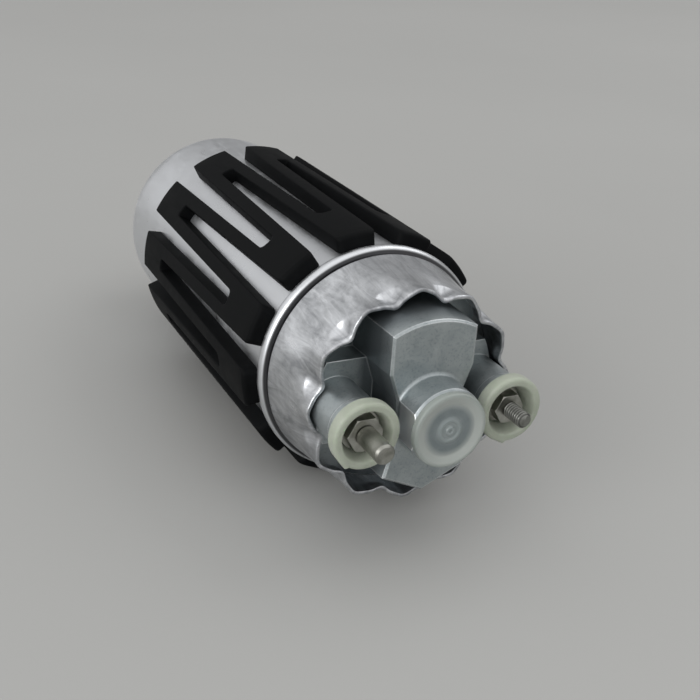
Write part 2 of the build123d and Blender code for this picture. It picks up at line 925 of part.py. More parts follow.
# Carbon brushes with their springs, one each side of the commutator
brush_face_radius = commutator_radius + seat_gap
brush_corner = math.sqrt(brush_face_radius**2 - (brush_width / 2) ** 2)
brush_outer_end = brush_face_radius + brush_length
brush_pieces = []
for side_name, side in (("left", -1), ("right", 1)):
    with BuildPart() as carbon_brush:
        with BuildSketch(station(brush_back)):
            with Locations((side * (brush_corner + brush_outer_end) / 2, 0)):
                Rectangle(brush_outer_end - brush_corner, brush_width)
            Circle(brush_face_radius, mode=Mode.SUBTRACT)
        extrude(amount=brush_height)
    carbon_brush.part.label = f"carbon_brush_{side_name}"

    with BuildPart() as brush_spring:
        coil(
            (
                side * (brush_outer_end + brush_spring_wire),
                (brush_front + brush_back) / 2,
                0,
            ),
            (side, 0, 0),
            guide_end_radius - brush_outer_end - 2 * brush_spring_wire,
            brush_spring_radius,
            brush_spring_wire,
            brush_spring_turns,
        )
    brush_spring.part.label = f"brush_spring_{side_name}"
    brush_pieces += [carbon_brush, brush_spring]

# Armature: shaft, laminations, winding and commutator
slot_root_radius = armature_radius - slot_root_depth
slot_top_radius = armature_radius - slot_top_depth
half_pitch_slope = math.tan(math.pi / armature_slots)
slot_root_half = slot_root_radius * half_pitch_slope - tooth_root_half
slot_top_half = slot_top_radius * half_pitch_slope - tooth_top_half
rear_washer_back = base_plate_front - thrust_play
rear_washer_front = rear_washer_back - thrust_washer_thickness
shaft_front = bush_front - shaft_nose
shaft_back = inlet_plate_front - side_play

with BuildPart() as armature_shaft:
    revolve(
        half_section(
            (shaft_front, 0),
            (shaft_front, shaft_radius),
            (stack_back, shaft_radius),
            (stack_back, shaft_shoulder_radius),
            (rear_washer_front, shaft_shoulder_radius),
            (rear_washer_front, shaft_radius),
            (shaft_back, shaft_radius),
            (shaft_back, 0),
        ),
        axis=pump_axis,
    )
    with BuildSketch(station(shaft_back)):
        Circle(shaft_shoulder_radius)
        Rectangle(shaft_flats, 2 * shaft_shoulder_radius, mode=Mode.SUBTRACT)
    extrude(amount=shaft_back - pump_ring_front, mode=Mode.SUBTRACT)
armature_shaft.part.label = "armature_shaft"

with BuildPart() as lamination_stack:
    with BuildSketch(station(stack_back)):
        Circle(armature_radius)
        Circle(shaft_radius, mode=Mode.SUBTRACT)
        for slot in range(armature_slots):
            with Locations(Rotation(0, 0, slot * 360 / armature_slots)):
                Polygon(*slot_outline(0), align=None, mode=Mode.SUBTRACT)
                with Locations((armature_radius, 0)):
                    Rectangle(
                        2 * (armature_radius - slot_top_radius),
                        2 * slot_mouth_half,
                        mode=Mode.SUBTRACT,
                    )
    extrude(amount=stack_back - stack_front)
lamination_stack.part.label = "lamination_stack"

with BuildPart() as armature_winding:
    with BuildSketch(station(stack_back)):
        for slot in range(armature_slots):
            with Locations(Rotation(0, 0, slot * 360 / armature_slots)):
                Polygon(*slot_outline(slot_liner), align=None)
    extrude(amount=stack_back - stack_front)
    for turn_end in (stack_front, stack_back + end_turn_length):
        with BuildSketch(station(turn_end)):
            Circle(slot_top_radius)
            Circle(end_turn_inner, mode=Mode.SUBTRACT)
        extrude(amount=end_turn_length)
    outer_turn_edges = (
        edges()
        .filter_by(GeomType.CIRCLE)
        .filter_by(lambda edge: abs(edge.radius - slot_top_radius) < slip)
    )
    chamfer(
        [outer_turn_edges.sort_by(Axis.Y)[0], outer_turn_edges.sort_by(Axis.Y)[-1]],
        length=end_turn_bevel,
    )
armature_winding.part.label = "armature_winding"

with BuildPart() as commutator:
    with BuildSketch(station(commutator_back)):
        Circle(commutator_radius)
        Circle(shaft_radius, mode=Mode.SUBTRACT)
        with PolarLocations(commutator_radius, commutator_bars):
            Rectangle(2 * bar_gap_depth, bar_gap, mode=Mode.SUBTRACT)
    extrude(amount=commutator_length)
commutator.part.label = "commutator"

with BuildPart() as thrust_washers:
    for washer_back in (commutator_front, rear_washer_back):
        with BuildSketch(station(washer_back)):
            Circle(thrust_washer_radius)
            Circle(shaft_radius, mode=Mode.SUBTRACT)
        extrude(amount=thrust_washer_thickness)
thrust_washers.part.label = "thrust_washers"

with BuildPart() as front_bush:
    with BuildSketch(station(hub_back)):
        Circle(bush_radius)
        Circle(shaft_radius + running, mode=Mode.SUBTRACT)
    extrude(amount=bush_length)
front_bush.part.label = "front_bush"

with BuildPart() as rear_bush:
    with BuildSketch(station(pump_ring_front)):
        Circle(bush_radius)
        Circle(shaft_radius + running, mode=Mode.SUBTRACT)
    extrude(amount=base_plate_thickness)
rear_bush.part.label = "rear_bush"

# Field: steel ring, two magnets and the clips that hold them apart
magnet_front = stack_front - magnet_overhang
magnet_back = stack_back + magnet_overhang
clip_arc = 180 - magnet_arc
clip_radius = magnet_outer_radius - clip_sheet
clip_leg_radius = magnet_outer_radius - clip_leg_length

with BuildPart() as flux_ring:
    with BuildSketch(station(base_plate_front)):
        Circle(flux_ring_radius)
        Circle(magnet_outer_radius, mode=Mode.SUBTRACT)
    extrude(amount=base_plate_front - end_ring_back)
flux_ring.part.label = "flux_ring"

with BuildPart() as field_magnets:
    for middle in (0, 180):
        with BuildSketch(station(magnet_back)):
            sector(magnet_inner_radius, magnet_outer_radius, middle, magnet_arc)
        extrude(amount=magnet_back - magnet_front)
field_magnets.part.label = "field_magnets"

with BuildPart() as magnet_clips:
    for middle in (90, 270):
        with BuildSketch(station(magnet_back)):
            sector(clip_radius, magnet_outer_radius, middle, clip_arc)
            for leg in (-1, 1):
                leg_middle = middle + leg * (clip_arc - clip_leg_arc) / 2
                sector(clip_leg_radius, magnet_outer_radius, leg_middle, clip_leg_arc)
        extrude(amount=magnet_back - magnet_front)
magnet_clips.part.label = "magnet_clips"

# Roller-cell pump: base plate, eccentric ring, rotor with rollers, inlet plate
screw_places = [
    (
        pump_screw_circle * math.cos(math.radians(90 + index * 360 / pump_screw_count)),
        pump_screw_circle * math.sin(math.radians(90 + index * 360 / pump_screw_count)),
    )
    for index in range(pump_screw_count)
]
screw_hole_radius = pump_screw_radius + screw_hole_play
screw_head_front = inlet_plate_back - pump_screw_head_height

with BuildPart() as base_plate:
    with BuildSketch(station(pump_ring_front)):
        Circle(flux_ring_radius)
        Circle(bush_radius, mode=Mode.SUBTRACT)
        sector(
            kidney_radius - kidney_half_width,
            kidney_radius + kidney_half_width,
            0,
            kidney_arc,
            mode=Mode.SUBTRACT,
        )
        with Locations((0, -relief_circle)):
            Circle(relief_passage_radius, mode=Mode.SUBTRACT)
        with Locations(*screw_places):
            Circle(pump_screw_radius, mode=Mode.SUBTRACT)
    extrude(amount=base_plate_thickness)
base_plate.part.label = "base_plate"

with BuildPart() as pump_ring:
    with BuildSketch(station(inlet_plate_front)):
        Circle(flux_ring_radius)
        with Locations((0, eccentricity)):
            Circle(ring_bore_radius, mode=Mode.SUBTRACT)
        with Locations((0, -relief_circle)):
            Circle(relief_passage_radius, mode=Mode.SUBTRACT)
        with Locations(*screw_places):
            Circle(screw_hole_radius, mode=Mode.SUBTRACT)
    extrude(amount=pump_ring_thickness)
pump_ring.part.label = "pump_ring"

roller_circle = ring_bore_radius - eccentricity - roller_track_gap - roller_radius
pocket_radius = roller_radius + roller_pocket_play
rotor_back = inlet_plate_front - side_play
rotor_thickness = pump_ring_thickness - 2 * side_play

with BuildPart() as rotor_disc:
    with BuildSketch(station(rotor_back)):
        Circle(rotor_radius)
        with BuildSketch(mode=Mode.SUBTRACT):
            Circle(shaft_radius)
            Rectangle(shaft_flats, 2 * shaft_radius, mode=Mode.INTERSECT)
        with PolarLocations(roller_circle, roller_count):
            Circle(pocket_radius, mode=Mode.SUBTRACT)
            with Locations((pocket_radius, 0)):
                Rectangle(2 * pocket_radius, 2 * pocket_radius, mode=Mode.SUBTRACT)
    extrude(amount=rotor_thickness)
rotor_disc.part.label = "rotor_disc"

with BuildPart() as rollers:
    with BuildSketch(station(rotor_back)):
        with PolarLocations(roller_circle, roller_count):
            Circle(roller_radius)
    extrude(amount=rotor_thickness)
rollers.part.label = "rollers"

plate_boss_back = back_inner_face - 2 * o_ring_section
plate_boss_radius = can_bore - plate_boss_inset
neck_front = back_face - inlet_neck_length
gallery_front = inlet_plate_front + gallery_front_wall
gallery_back = gallery_front + 2 * gallery_slot_half
relief_seat = inlet_plate_front + relief_seat_depth

with BuildPart() as inlet_plate:
    revolve(
        half_section(
            (inlet_plate_front, 0),
            (inlet_plate_front, flux_ring_radius),
            (inlet_plate_back, flux_ring_radius),
            (inlet_plate_back, plate_boss_radius),
            (plate_boss_back, plate_boss_radius),
            (plate_boss_back, inlet_neck_radius),
            (neck_front, inlet_neck_radius),
            (neck_front, inlet_gallery_radius),
            (gallery_front, inlet_gallery_radius),
            (gallery_front, 0),
        ),
        axis=pump_axis,
    )
    with BuildSketch(station(gallery_back)):
        sector(
            kidney_radius - kidney_half_width,
            kidney_radius + kidney_half_width,
            180,
            kidney_arc,
        )
    extrude(amount=gallery_back - inlet_plate_front, mode=Mode.SUBTRACT)
    with BuildSketch(station(gallery_back)):
        with Locations((-kidney_radius / 2, 0)):
            Rectangle(kidney_radius, 2 * gallery_slot_half)
    extrude(amount=gallery_back - gallery_front, mode=Mode.SUBTRACT)
    with BuildSketch(station(inlet_plate_back)):
        with Locations((0, -relief_circle)):
            Circle(relief_bore_radius)
    extrude(amount=inlet_plate_back - relief_seat, mode=Mode.SUBTRACT)
    with BuildSketch(station(relief_seat)):
        with Locations((0, -relief_circle)):
            Circle(relief_passage_radius)
    extrude(amount=relief_seat_depth, mode=Mode.SUBTRACT)
    with BuildSketch(station(inlet_plate_back)):
        with Locations(*screw_places):
            Circle(screw_hole_radius)
    extrude(amount=inlet_plate_thickness, mode=Mode.SUBTRACT)
    with BuildSketch(station(inlet_plate_back)):
        with Locations(*screw_places):
            Circle(pump_screw_head_radius + screw_hole_play)
    extrude(amount=pump_screw_head_height, mode=Mode.SUBTRACT)
inlet_plate.part.label = "inlet_plate"

with BuildPart() as pump_screws:
    with BuildSketch(station(inlet_plate_back)):
        with Locations(*screw_places):
            Circle(pump_screw_head_radius)
    extrude(amount=pump_screw_head_height)
    with BuildSketch(station(screw_head_front)):
        with Locations(*screw_places):
            Circle(pump_screw_radius)
    extrude(amount=screw_head_front - base_plate_front)
    with BuildSketch(station(inlet_plate_back)):
        with Locations(*screw_places):
            RegularPolygon(screw_socket_flats / 2, side_count=6, major_radius=False)
    extrude(amount=pump_screw_head_height / 2, mode=Mode.SUBTRACT)
pump_screws.part.label = "pump_screws"

# Relief valve: a ball held on its seat by a spring and a pressed-in plug
ball_rise = math.sqrt(relief_ball_radius**2 - relief_passage_radius**2)
ball_y = relief_seat + ball_rise + relief_ball_gap
spring_reach = relief_ball_radius + relief_spring_wire
spring_start = ball_y + math.sqrt(spring_reach**2 - relief_spring_radius**2) + relief_ball_gap
plug_start = inlet_plate_back - relief_plug_length

with BuildPart() as relief_ball:
    with Locations((0, ball_y, axis_height - relief_circle)):
        Sphere(relief_ball_radius)
relief_ball.part.label = "relief_ball"

with BuildPart() as relief_spring:
    coil(
        (0, spring_start, -relief_circle),
        (0, 1, 0),
        plug_start - relief_spring_wire - spring_start,
        relief_spring_radius,
        relief_spring_wire,
        relief_spring_turns,
    )
relief_spring.part.label = "relief_spring"

with BuildPart() as relief_plug:
    with BuildSketch(station(inlet_plate_back)):
        with Locations((0, -relief_circle)):
            Circle(relief_bore_radius)
            Circle(relief_plug_hole, mode=Mode.SUBTRACT)
    extrude(amount=relief_plug_length)
relief_plug.part.label = "relief_plug"

# Inlet union: neck screwed into the inlet plate, hexagon collar and threaded boss
collar_back = back_face + inlet_collar_thickness
thread_end = inlet_end - inlet_thread_depth
inlet_seat = thread_end - strainer_flange_thickness
collar_corner = inlet_collar_flats / math.sqrt(3)

with BuildPart() as inlet_union:
    with BuildSketch(station(collar_back)):
        RegularPolygon(inlet_collar_flats / 2, side_count=6, major_radius=False)
    extrude(amount=inlet_collar_thickness)
    revolve(
        half_section(
            (back_face, 0),
            (back_face, collar_corner - inlet_edge),
            (back_face + inlet_edge / 2, collar_corner),
            (collar_back - inlet_edge / 2, collar_corner),
            (collar_back, collar_corner - inlet_edge),
            (collar_back, 0),
        ),
        axis=pump_axis,
        mode=Mode.INTERSECT,
    )
    revolve(
        half_section(
            (neck_front, 0),
            (neck_front, inlet_neck_radius),
            (back_face, inlet_neck_radius),
            (back_face, inlet_boss_radius),
            (inlet_end - inlet_edge, inlet_boss_radius),
            (inlet_end, inlet_boss_radius - inlet_edge),
            (inlet_end, 0),
        ),
        axis=pump_axis,
    )
    revolve(
        half_section(
            (neck_front, 0),
            (neck_front, inlet_channel_radius),
            (inlet_seat, inlet_channel_radius),
            (inlet_seat, strainer_seat_radius),
            (thread_end, strainer_seat_radius),
            (thread_end, inlet_thread_radius),
            (inlet_end, inlet_thread_radius),
            (inlet_end, 0),
        ),
        axis=pump_axis,
        mode=Mode.SUBTRACT,
    )
inlet_union.part.label = "inlet_union"

with BuildPart() as inlet_o_ring:
    with BuildSketch(profile_plane):
        with Locations((plate_boss_back + o_ring_section, inlet_neck_radius + o_ring_section)):
            RegularPolygon(
                o_ring_section,
                side_count=o_ring_sides,
                major_radius=False,
                rotation=180 / o_ring_sides,
            )
    revolve(axis=pump_axis)
inlet_o_ring.part.label = "inlet_o_ring"

strainer_tip = inlet_seat - strainer_length
with BuildPart() as inlet_strainer:
    revolve(
        half_section(
            (thread_end, strainer_root_radius - strainer_sheet),
            (thread_end, strainer_seat_radius - slip),
            (inlet_seat, strainer_seat_radius - slip),
            (inlet_seat, strainer_root_radius),
            (strainer_tip, strainer_tip_radius),
            (strainer_tip, 0),
            (strainer_tip + strainer_sheet, 0),
            (strainer_tip + strainer_sheet, strainer_tip_radius - strainer_sheet),
            (inlet_seat, strainer_root_radius - strainer_sheet),
        ),
        axis=pump_axis,
    )
inlet_strainer.part.label = "inlet_strainer"

pieces = [
    housing_can,
    damping_sleeve,
    end_cap,
    end_cap_o_ring,
    outlet_plug,
    check_valve_poppet,
    check_valve_seal,
    check_valve_retainer,
    check_valve_spring,
    *terminal_pieces,
    brush_holder,
    choke_cores,
    choke_coils,
    *brush_pieces,
    armature_shaft,
    lamination_stack,
    armature_winding,
    commutator,
    thrust_washers,
    front_bush,
    rear_bush,
    flux_ring,
    field_magnets,
    magnet_clips,
    base_plate,
    pump_ring,
    rotor_disc,
    rollers,
    inlet_plate,
    pump_screws,
    relief_ball,
    relief_spring,
    relief_plug,
    inlet_union,
    inlet_o_ring,
    inlet_strainer,
]
os.makedirs("parts", exist_ok=True)
for piece in pieces:
    export_step(piece.part, f"parts/{piece.part.label}.step")
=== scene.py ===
"""Looks of the inline electric fuel pump: surfaces, threads, soft edges, light and camera."""

import json
import math

import bmesh
import bpy
from mathutils import Euler, Matrix, Vector
from mathutils.geometry import delaunay_2d_cdt


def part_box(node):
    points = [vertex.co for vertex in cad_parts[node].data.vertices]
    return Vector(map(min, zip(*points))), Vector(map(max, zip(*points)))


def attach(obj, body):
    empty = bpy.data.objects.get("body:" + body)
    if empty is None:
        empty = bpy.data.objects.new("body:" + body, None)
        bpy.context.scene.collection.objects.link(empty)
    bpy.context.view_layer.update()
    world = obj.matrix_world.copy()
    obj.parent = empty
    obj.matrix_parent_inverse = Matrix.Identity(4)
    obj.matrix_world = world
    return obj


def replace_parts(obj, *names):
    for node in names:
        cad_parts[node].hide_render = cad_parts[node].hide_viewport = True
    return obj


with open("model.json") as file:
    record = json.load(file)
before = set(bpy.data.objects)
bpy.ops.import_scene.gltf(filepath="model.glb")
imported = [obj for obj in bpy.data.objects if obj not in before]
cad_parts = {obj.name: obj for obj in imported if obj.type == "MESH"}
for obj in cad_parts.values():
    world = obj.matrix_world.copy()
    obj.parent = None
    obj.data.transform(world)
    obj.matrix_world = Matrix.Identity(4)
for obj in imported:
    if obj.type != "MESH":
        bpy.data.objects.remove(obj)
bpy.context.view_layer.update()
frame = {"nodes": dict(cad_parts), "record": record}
nodes = frame["nodes"]

# Places taken from the frame, in millimetres; the pump's axis runs along Y at this height
MM = 0.001
TURN = 2 * math.pi


def node_box(name):
    """Lowest and highest corner of a node in millimetres."""
    low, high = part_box(name)
    return low / MM, high / MM


can_low, can_high = node_box("housing_can")
union_low, union_high = node_box("inlet_union")
sleeve_low, sleeve_high = node_box("damping_sleeve")
stud_low, stud_high = node_box("small_terminal_stud")
AXIS_Z = (can_low.z + can_high.z) / 2
RIM_Y = can_low.y
BACK_Y = can_high.y
BOSS_TOP = node_box("end_cap")[0].y
PLUG_FRONT = node_box("outlet_plug")[0].y
UNION_FRONT = union_low.y
UNION_END = union_high.y
SLEEVE_FRONT = sleeve_low.y
SLEEVE_LENGTH = sleeve_high.y - sleeve_low.y
SLEEVE_RADIUS = sleeve_high.x
STUD_TIP = stud_low.y
STUD_BACK = stud_high.y

# Sizes that materials and pieces share, in millimetres
BEAD_HEIGHT = 1.0
CAN_RADIUS = can_high.x - BEAD_HEIGHT
BEAD_Y = RIM_Y + 22.8
SKIRT_START = BEAD_Y - 2.5
BRIDGE_TOP = BEAD_Y - 31.0
BRIDGE_HALF_WIDTH = 11.2
BOSS_FLAT_HALF = 8.6
TERMINAL_X = 19.2
STUD_RADIUS = 2.0
STUD_PITCH = 0.8
THREAD_DEPTH = 0.45
WAVES = 12
PRESS_ZONE = 5.6


# Meshes


def finish_mesh(name, vertices, faces, material, crease=35.0, body="pump"):
    """Makes an object in metres from millimetre points, smooth but for its sharp edges."""
    mesh = bpy.data.meshes.new(name)
    mesh.from_pydata([Vector(v) * MM for v in vertices], [], faces)
    shape = bmesh.new()
    shape.from_mesh(mesh)
    bmesh.ops.remove_doubles(shape, verts=shape.verts, dist=1e-7)
    bmesh.ops.dissolve_degenerate(shape, edges=shape.edges, dist=1e-8)
    bmesh.ops.recalc_face_normals(shape, faces=shape.faces)
    shape.to_mesh(mesh)
    shape.free()
    mesh.polygons.foreach_set("use_smooth", [True] * len(mesh.polygons))
    mesh.set_sharp_from_angle(angle=math.radians(crease))
    mesh.materials.append(material)
    piece = bpy.data.objects.new(name, mesh)
    bpy.context.scene.collection.objects.link(piece)
    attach(piece, body)
    return piece


def turned(name, loop, material, segments=96, reach=None, x=0.0, body="pump", crease=35.0):
    """Turns a closed loop of (station, radius) points about a line along the pump.

    reach(station, radius, angle) may change the radius from place to place.
    """
    vertices = []
    for station, radius in loop:
        for step in range(segments):
            angle = TURN * step / segments
            here = reach(station, radius, angle) if reach else radius
            vertices.append((x + here * math.cos(angle), station, AXIS_Z + here * math.sin(angle)))
    faces = []
    rows = len(loop)
    for row in range(rows):
        next_row = (row + 1) % rows
        for step in range(segments):
            next_step = (step + 1) % segments
            faces.append(
                (
                    row * segments + step,
                    row * segments + next_step,
                    next_row * segments + next_step,
                    next_row * segments + step,
                )
            )
    return finish_mesh(name, vertices, faces, material, crease, body)


def rounded(corners, steps=5, closed=True):
    """Points of an outline whose corners (first, second, fillet) are rounded."""
    loop = []
    count = len(corners)
    for index, (first, second, fillet) in enumerate(corners):
        here = Vector((first, second))
        end_point = not closed and index in (0, count - 1)
        if fillet <= 0 or end_point:
            loop.append((first, second))
            continue
        before = Vector(corners[index - 1][:2])
        after = Vector(corners[(index + 1) % count][:2])
        into = (before - here).normalized()
        out = (after - here).normalized()
        half = into.angle(out) / 2
        back = min(fillet / math.tan(half), (before - here).length / 2, (after - here).length / 2)
        radius = back * math.tan(half)
        middle = here + (into + out).normalized() * (radius / math.sin(half))
        start = here + into * back - middle
        end = here + out * back - middle
        swing = start.angle_signed(end)
        for step in range(steps + 1):
            turn = -swing * step / steps
            point = middle + Matrix.Rotation(turn, 2) @ start
            loop.append((point.x, point.y))
    return loop


def spaced(start, end, pitch):
    """Stations from start to end about a pitch apart, both ends included."""
    count = max(1, round(abs(end - start) / pitch))
    return [start + (end - start) * index / count for index in range(count + 1)]


THREAD_STEEPNESS = 1.25
THREAD_ROOT = 0.12


def thread_share(station, angle, pitch):
    """0 at the root and 1 at the crest of a V thread."""
    phase = (station / pitch + angle / TURN) % 1
    return min(max((1 - abs(2 * phase - 1)) * THREAD_STEEPNESS - THREAD_ROOT, 0), 1)


# Materials


class Graph:
    """Short way to build a node material around one Principled shader."""

    def __init__(self, name):
        self.material = bpy.data.materials.new(name)
        self.material.use_nodes = True
        self.nodes = self.material.node_tree.nodes
        self.links = self.material.node_tree.links
        self.shader = self.nodes["Principled BSDF"]
        self.place = self.nodes.new("ShaderNodeTexCoord").outputs["Object"]

    def node(self, kind, inputs=(), **settings):
        """Adds a node with settings and values or links on its sockets, by number or name."""
        node = self.nodes.new("ShaderNode" + kind)
        for key, value in settings.items():
            setattr(node, key, value)
        for key, value in dict(inputs).items():
            self.feed(node.inputs[key], value)
        return node

    def feed(self, socket, value):
        """Links a socket, or gives it a constant."""
        if isinstance(value, bpy.types.NodeSocket):
            self.links.new(value, socket)
        else:
            socket.default_value = value

    def math(self, operation, *values):
        """Result of a math node."""
        return self.node("Math", dict(enumerate(values)), operation=operation).outputs[0]

    def polar(self):
        """Angle, station and radius round the pump's axis."""
        parts = self.node("SeparateXYZ", {0: self.place}).outputs
        height = self.math("SUBTRACT", parts[2], AXIS_Z * MM)
        square = self.math(
            "ADD", self.math("MULTIPLY", parts[0], parts[0]), self.math("MULTIPLY", height, height)
        )
        return self.math("ARCTAN2", height, parts[0]), parts[1], self.math("SQRT", square)

    def around(self, turns, along, depth=1.0):
        """Coordinates (angle, station, radius) round the pump's axis, each with its scale."""
        scaled = [
            self.math("MULTIPLY", value, factor)
            for value, factor in zip(self.polar(), (turns, along, depth))
        ]
        return self.node("CombineXYZ", dict(enumerate(scaled))).outputs[0]

    def noise(self, place, scale, detail=4.0, rough=0.55, warp=0.0):
        """Noise value at a place, about 0.5 on average."""
        return self.node(
            "TexNoise",
            {
                "Vector": place,
                "Scale": scale,
                "Detail": detail,
                "Roughness": rough,
                "Distortion": warp,
            },
        ).outputs[0]

    def span(self, value, low, high, to_low=0.0, to_high=1.0):
        """Maps a stretch of values to another, clamped."""
        return self.node(
            "MapRange", {0: value, 1: low, 2: high, 3: to_low, 4: to_high}
        ).outputs[0]

    def blend(self, share, first, second):
        """Colour mix by a share."""
        node = self.node("Mix", data_type="RGBA")
        self.feed(node.inputs[0], share)
        self.feed(node.inputs[6], first)
        self.feed(node.inputs[7], second)
        return node.outputs[2]

    def bump(self, height, distance, strength=1.0, normal=None):
        """Normal bent by a height, over another normal where one is given."""
        inputs = {"Height": height, "Distance": distance, "Strength": strength}
        if normal is not None:
            inputs["Normal"] = normal
        return self.node("Bump", inputs).outputs[0]

    def soft_edge(self, radius):
        """Normal that rounds the edges by a radius in metres."""
        return self.node("Bevel", {"Radius": radius}, samples=6).outputs[0]

    def edge_mask(self, radius, low, high):
        """1 on edges, 0 on faces, from how far the rounded normal leans from the flat one."""
        flat = self.node("NewGeometry").outputs["Normal"]
        lean = self.node("VectorMath", {0: flat, 1: self.soft_edge(radius)}, operation="DOT_PRODUCT")
        return self.span(self.math("SUBTRACT", 1.0, lean.outputs["Value"]), low, high)

    def set(self, **values):
        """Sets inputs of the shader by short names and returns the material."""
        names = {
            "colour": "Base Color",
            "metallic": "Metallic",
            "roughness": "Roughness",
            "normal": "Normal",
            "subsurface": "Subsurface Weight",
            "subsurface_radius": "Subsurface Radius",
            "subsurface_scale": "Subsurface Scale",
            "specular": "Specular IOR Level",
        }
        for key, value in values.items():
            self.feed(self.shader.inputs[names[key]], value)
        return self.material


def tone(red, green, blue):
    """Colour written in screen values from 0 to 255, as linear light."""
    linear = []
    for value in (red, green, blue):
        share = value / 255
        linear.append(share / 12.92 if share <= 0.04045 else ((share + 0.055) / 1.055) ** 2.4)
    return (*linear, 1.0)


def can_metal():
    """Satin drawn aluminium: even on the barrel, cloudy on the skirt, with painted shade making it dark
    at the bead's foot.
    """
    g = Graph("can_metal")
    angle, station = g.polar()[:2]
    skirt = g.span(station, (BEAD_Y - 1.5) * MM, (BEAD_Y - 2.5) * MM)
    clouds = g.noise(g.place, 85.0, 7.0, 0.62, 0.5)
    scuffs = g.noise(g.around(9.0, 75.0), 1.0, 7.0, 0.68, 1.2)
    specks = g.noise(g.place, 1100.0, 3.0, 0.7)
    drawn = g.noise(g.around(2.0, 2600.0), 1.0, 3.0, 0.6)
    stain = g.math("MULTIPLY", g.span(g.math("ADD", clouds, scuffs), 0.82, 1.2), skirt)
    colour = g.blend(stain, tone(212, 214, 217), tone(152, 154, 157))
    # Painted shade: a dark line at the bead's foot stands for the shade in the groove between skirt and
    # bead.
    groove_shade = g.math(
        "MULTIPLY",
        g.span(station, (SKIRT_START + 0.05) * MM, (SKIRT_START + 0.2) * MM),
        g.span(station, (BEAD_Y - 1.45) * MM, (BEAD_Y - 1.6) * MM),
    )
    colour = g.blend(groove_shade, colour, tone(84, 84, 86))
    dots = g.math("MULTIPLY", g.span(specks, 0.64, 0.76), g.span(skirt, 0, 1, 0.12, 0.6))
    colour = g.blend(dots, colour, tone(140, 138, 146))
    trough = g.span(g.math("COSINE", g.math("MULTIPLY", angle, float(WAVES))), -0.35, -0.8)
    near_rim = g.span(station, (RIM_Y + PRESS_ZONE) * MM, (RIM_Y + PRESS_ZONE - 1.4) * MM)
    pressed = g.math("MULTIPLY", trough, near_rim)
    dull = g.math("ADD", g.span(clouds, 0.35, 0.7, 0.3, 0.46), g.span(scuffs, 0.4, 0.7, -0.05, 0.05))
    rough = g.math("ADD", dull, g.math("MULTIPLY", pressed, 0.05))
    normal = g.bump(drawn, 0.00001, 0.2)
    normal = g.bump(clouds, 0.00012, g.span(skirt, 0, 1, 0.05, 0.4), normal)
    normal = g.bump(scuffs, 0.00006, g.span(skirt, 0, 1, 0.0, 0.22), normal)
    normal = g.bump(specks, 0.00002, 0.3, normal)
    return g.set(colour=colour, metallic=1.0, roughness=rough, normal=normal)


def sleeve_rubber():
    """Black moulded rubber, satin, with a fine grain of greyer specks."""
    g = Graph("sleeve_rubber_surface")
    grain = g.noise(g.place, 2600.0, 3.0, 0.6)
    clouds = g.noise(g.place, 120.0, 4.0, 0.6, 0.4)
    colour = g.blend(g.span(clouds, 0.35, 0.7), tone(9, 10, 11), tone(14, 15, 16))
    colour = g.blend(g.span(grain, 0.6, 0.8, 0.0, 0.35), colour, tone(24, 25, 26))
    rough = g.span(clouds, 0.3, 0.7, 0.52, 0.64)
    normal = g.bump(grain, 0.00002, 0.35)
    return g.set(colour=colour, roughness=rough, normal=normal, specular=0.05)


def casting():
    """Grey die casting: fine grain; edges and boss flats worn bright and also carrying a painted
    highlight; painted shade beside the bridge.
    """
    g = Graph("cap_casting_surface")
    grain = g.noise(g.place, 1500.0, 4.0, 0.65)
    clouds = g.noise(g.place, 170.0, 5.0, 0.6, 0.5)
    patches = g.noise(g.place, 60.0, 3.0, 0.5, 0.3)
    # Edges are lightened partly as wear and partly as a painted highlight, broken up in patches.
    edge = g.edge_mask(0.0006, 0.01, 0.1)
    wear_and_highlight = g.math("MULTIPLY", edge, g.span(patches, 0.42, 0.58, 0.35, 1.0))
    colour = g.blend(g.span(clouds, 0.3, 0.7), tone(148, 156, 158), tone(170, 176, 177))
    colour = g.blend(g.span(grain, 0.52, 0.75, 0.0, 0.5), colour, tone(104, 112, 116))
    width = g.math("ABSOLUTE", g.node("SeparateXYZ", {0: g.place}).outputs[0])
    station = g.polar()[1]
    # Painted shade: the casting beside the bridge is darkened as if the recess lay in shade.
    bridge_side_shade = g.math(
        "MULTIPLY",
        g.span(width, (BRIDGE_HALF_WIDTH + 2.5) * MM, (BRIDGE_HALF_WIDTH + 0.5) * MM),
        g.span(station, (BRIDGE_TOP + 0.6) * MM, (BRIDGE_TOP + 6.0) * MM),
    )
    colour = g.blend(g.math("MULTIPLY", bridge_side_shade, 0.8), colour, tone(92, 99, 103))
    # The boss flats are lightened as bright machined metal and also as a painted highlight where light
    # falls on them.
    on_flat = g.math(
        "MULTIPLY",
        g.math("COMPARE", width, BOSS_FLAT_HALF * MM, 0.15 * MM),
        g.span(station, (BRIDGE_TOP - 0.6) * MM, (BRIDGE_TOP - 1.2) * MM),
    )
    wear_and_highlight = g.math("MAXIMUM", wear_and_highlight, on_flat)
    # Pale worn metal colour, which also paints the highlights on the edges and flats.
    colour = g.blend(wear_and_highlight, colour, tone(240, 242, 243))
    skin = g.span(clouds, 0.3, 0.7, 0.38, 0.47)
    rough = g.math("SUBTRACT", skin, g.math("MULTIPLY", wear_and_highlight, 0.12))
    normal = g.bump(grain, 0.00003, 0.45, g.soft_edge(0.0003))
    return g.set(colour=colour, metallic=0.9, roughness=rough, normal=normal)


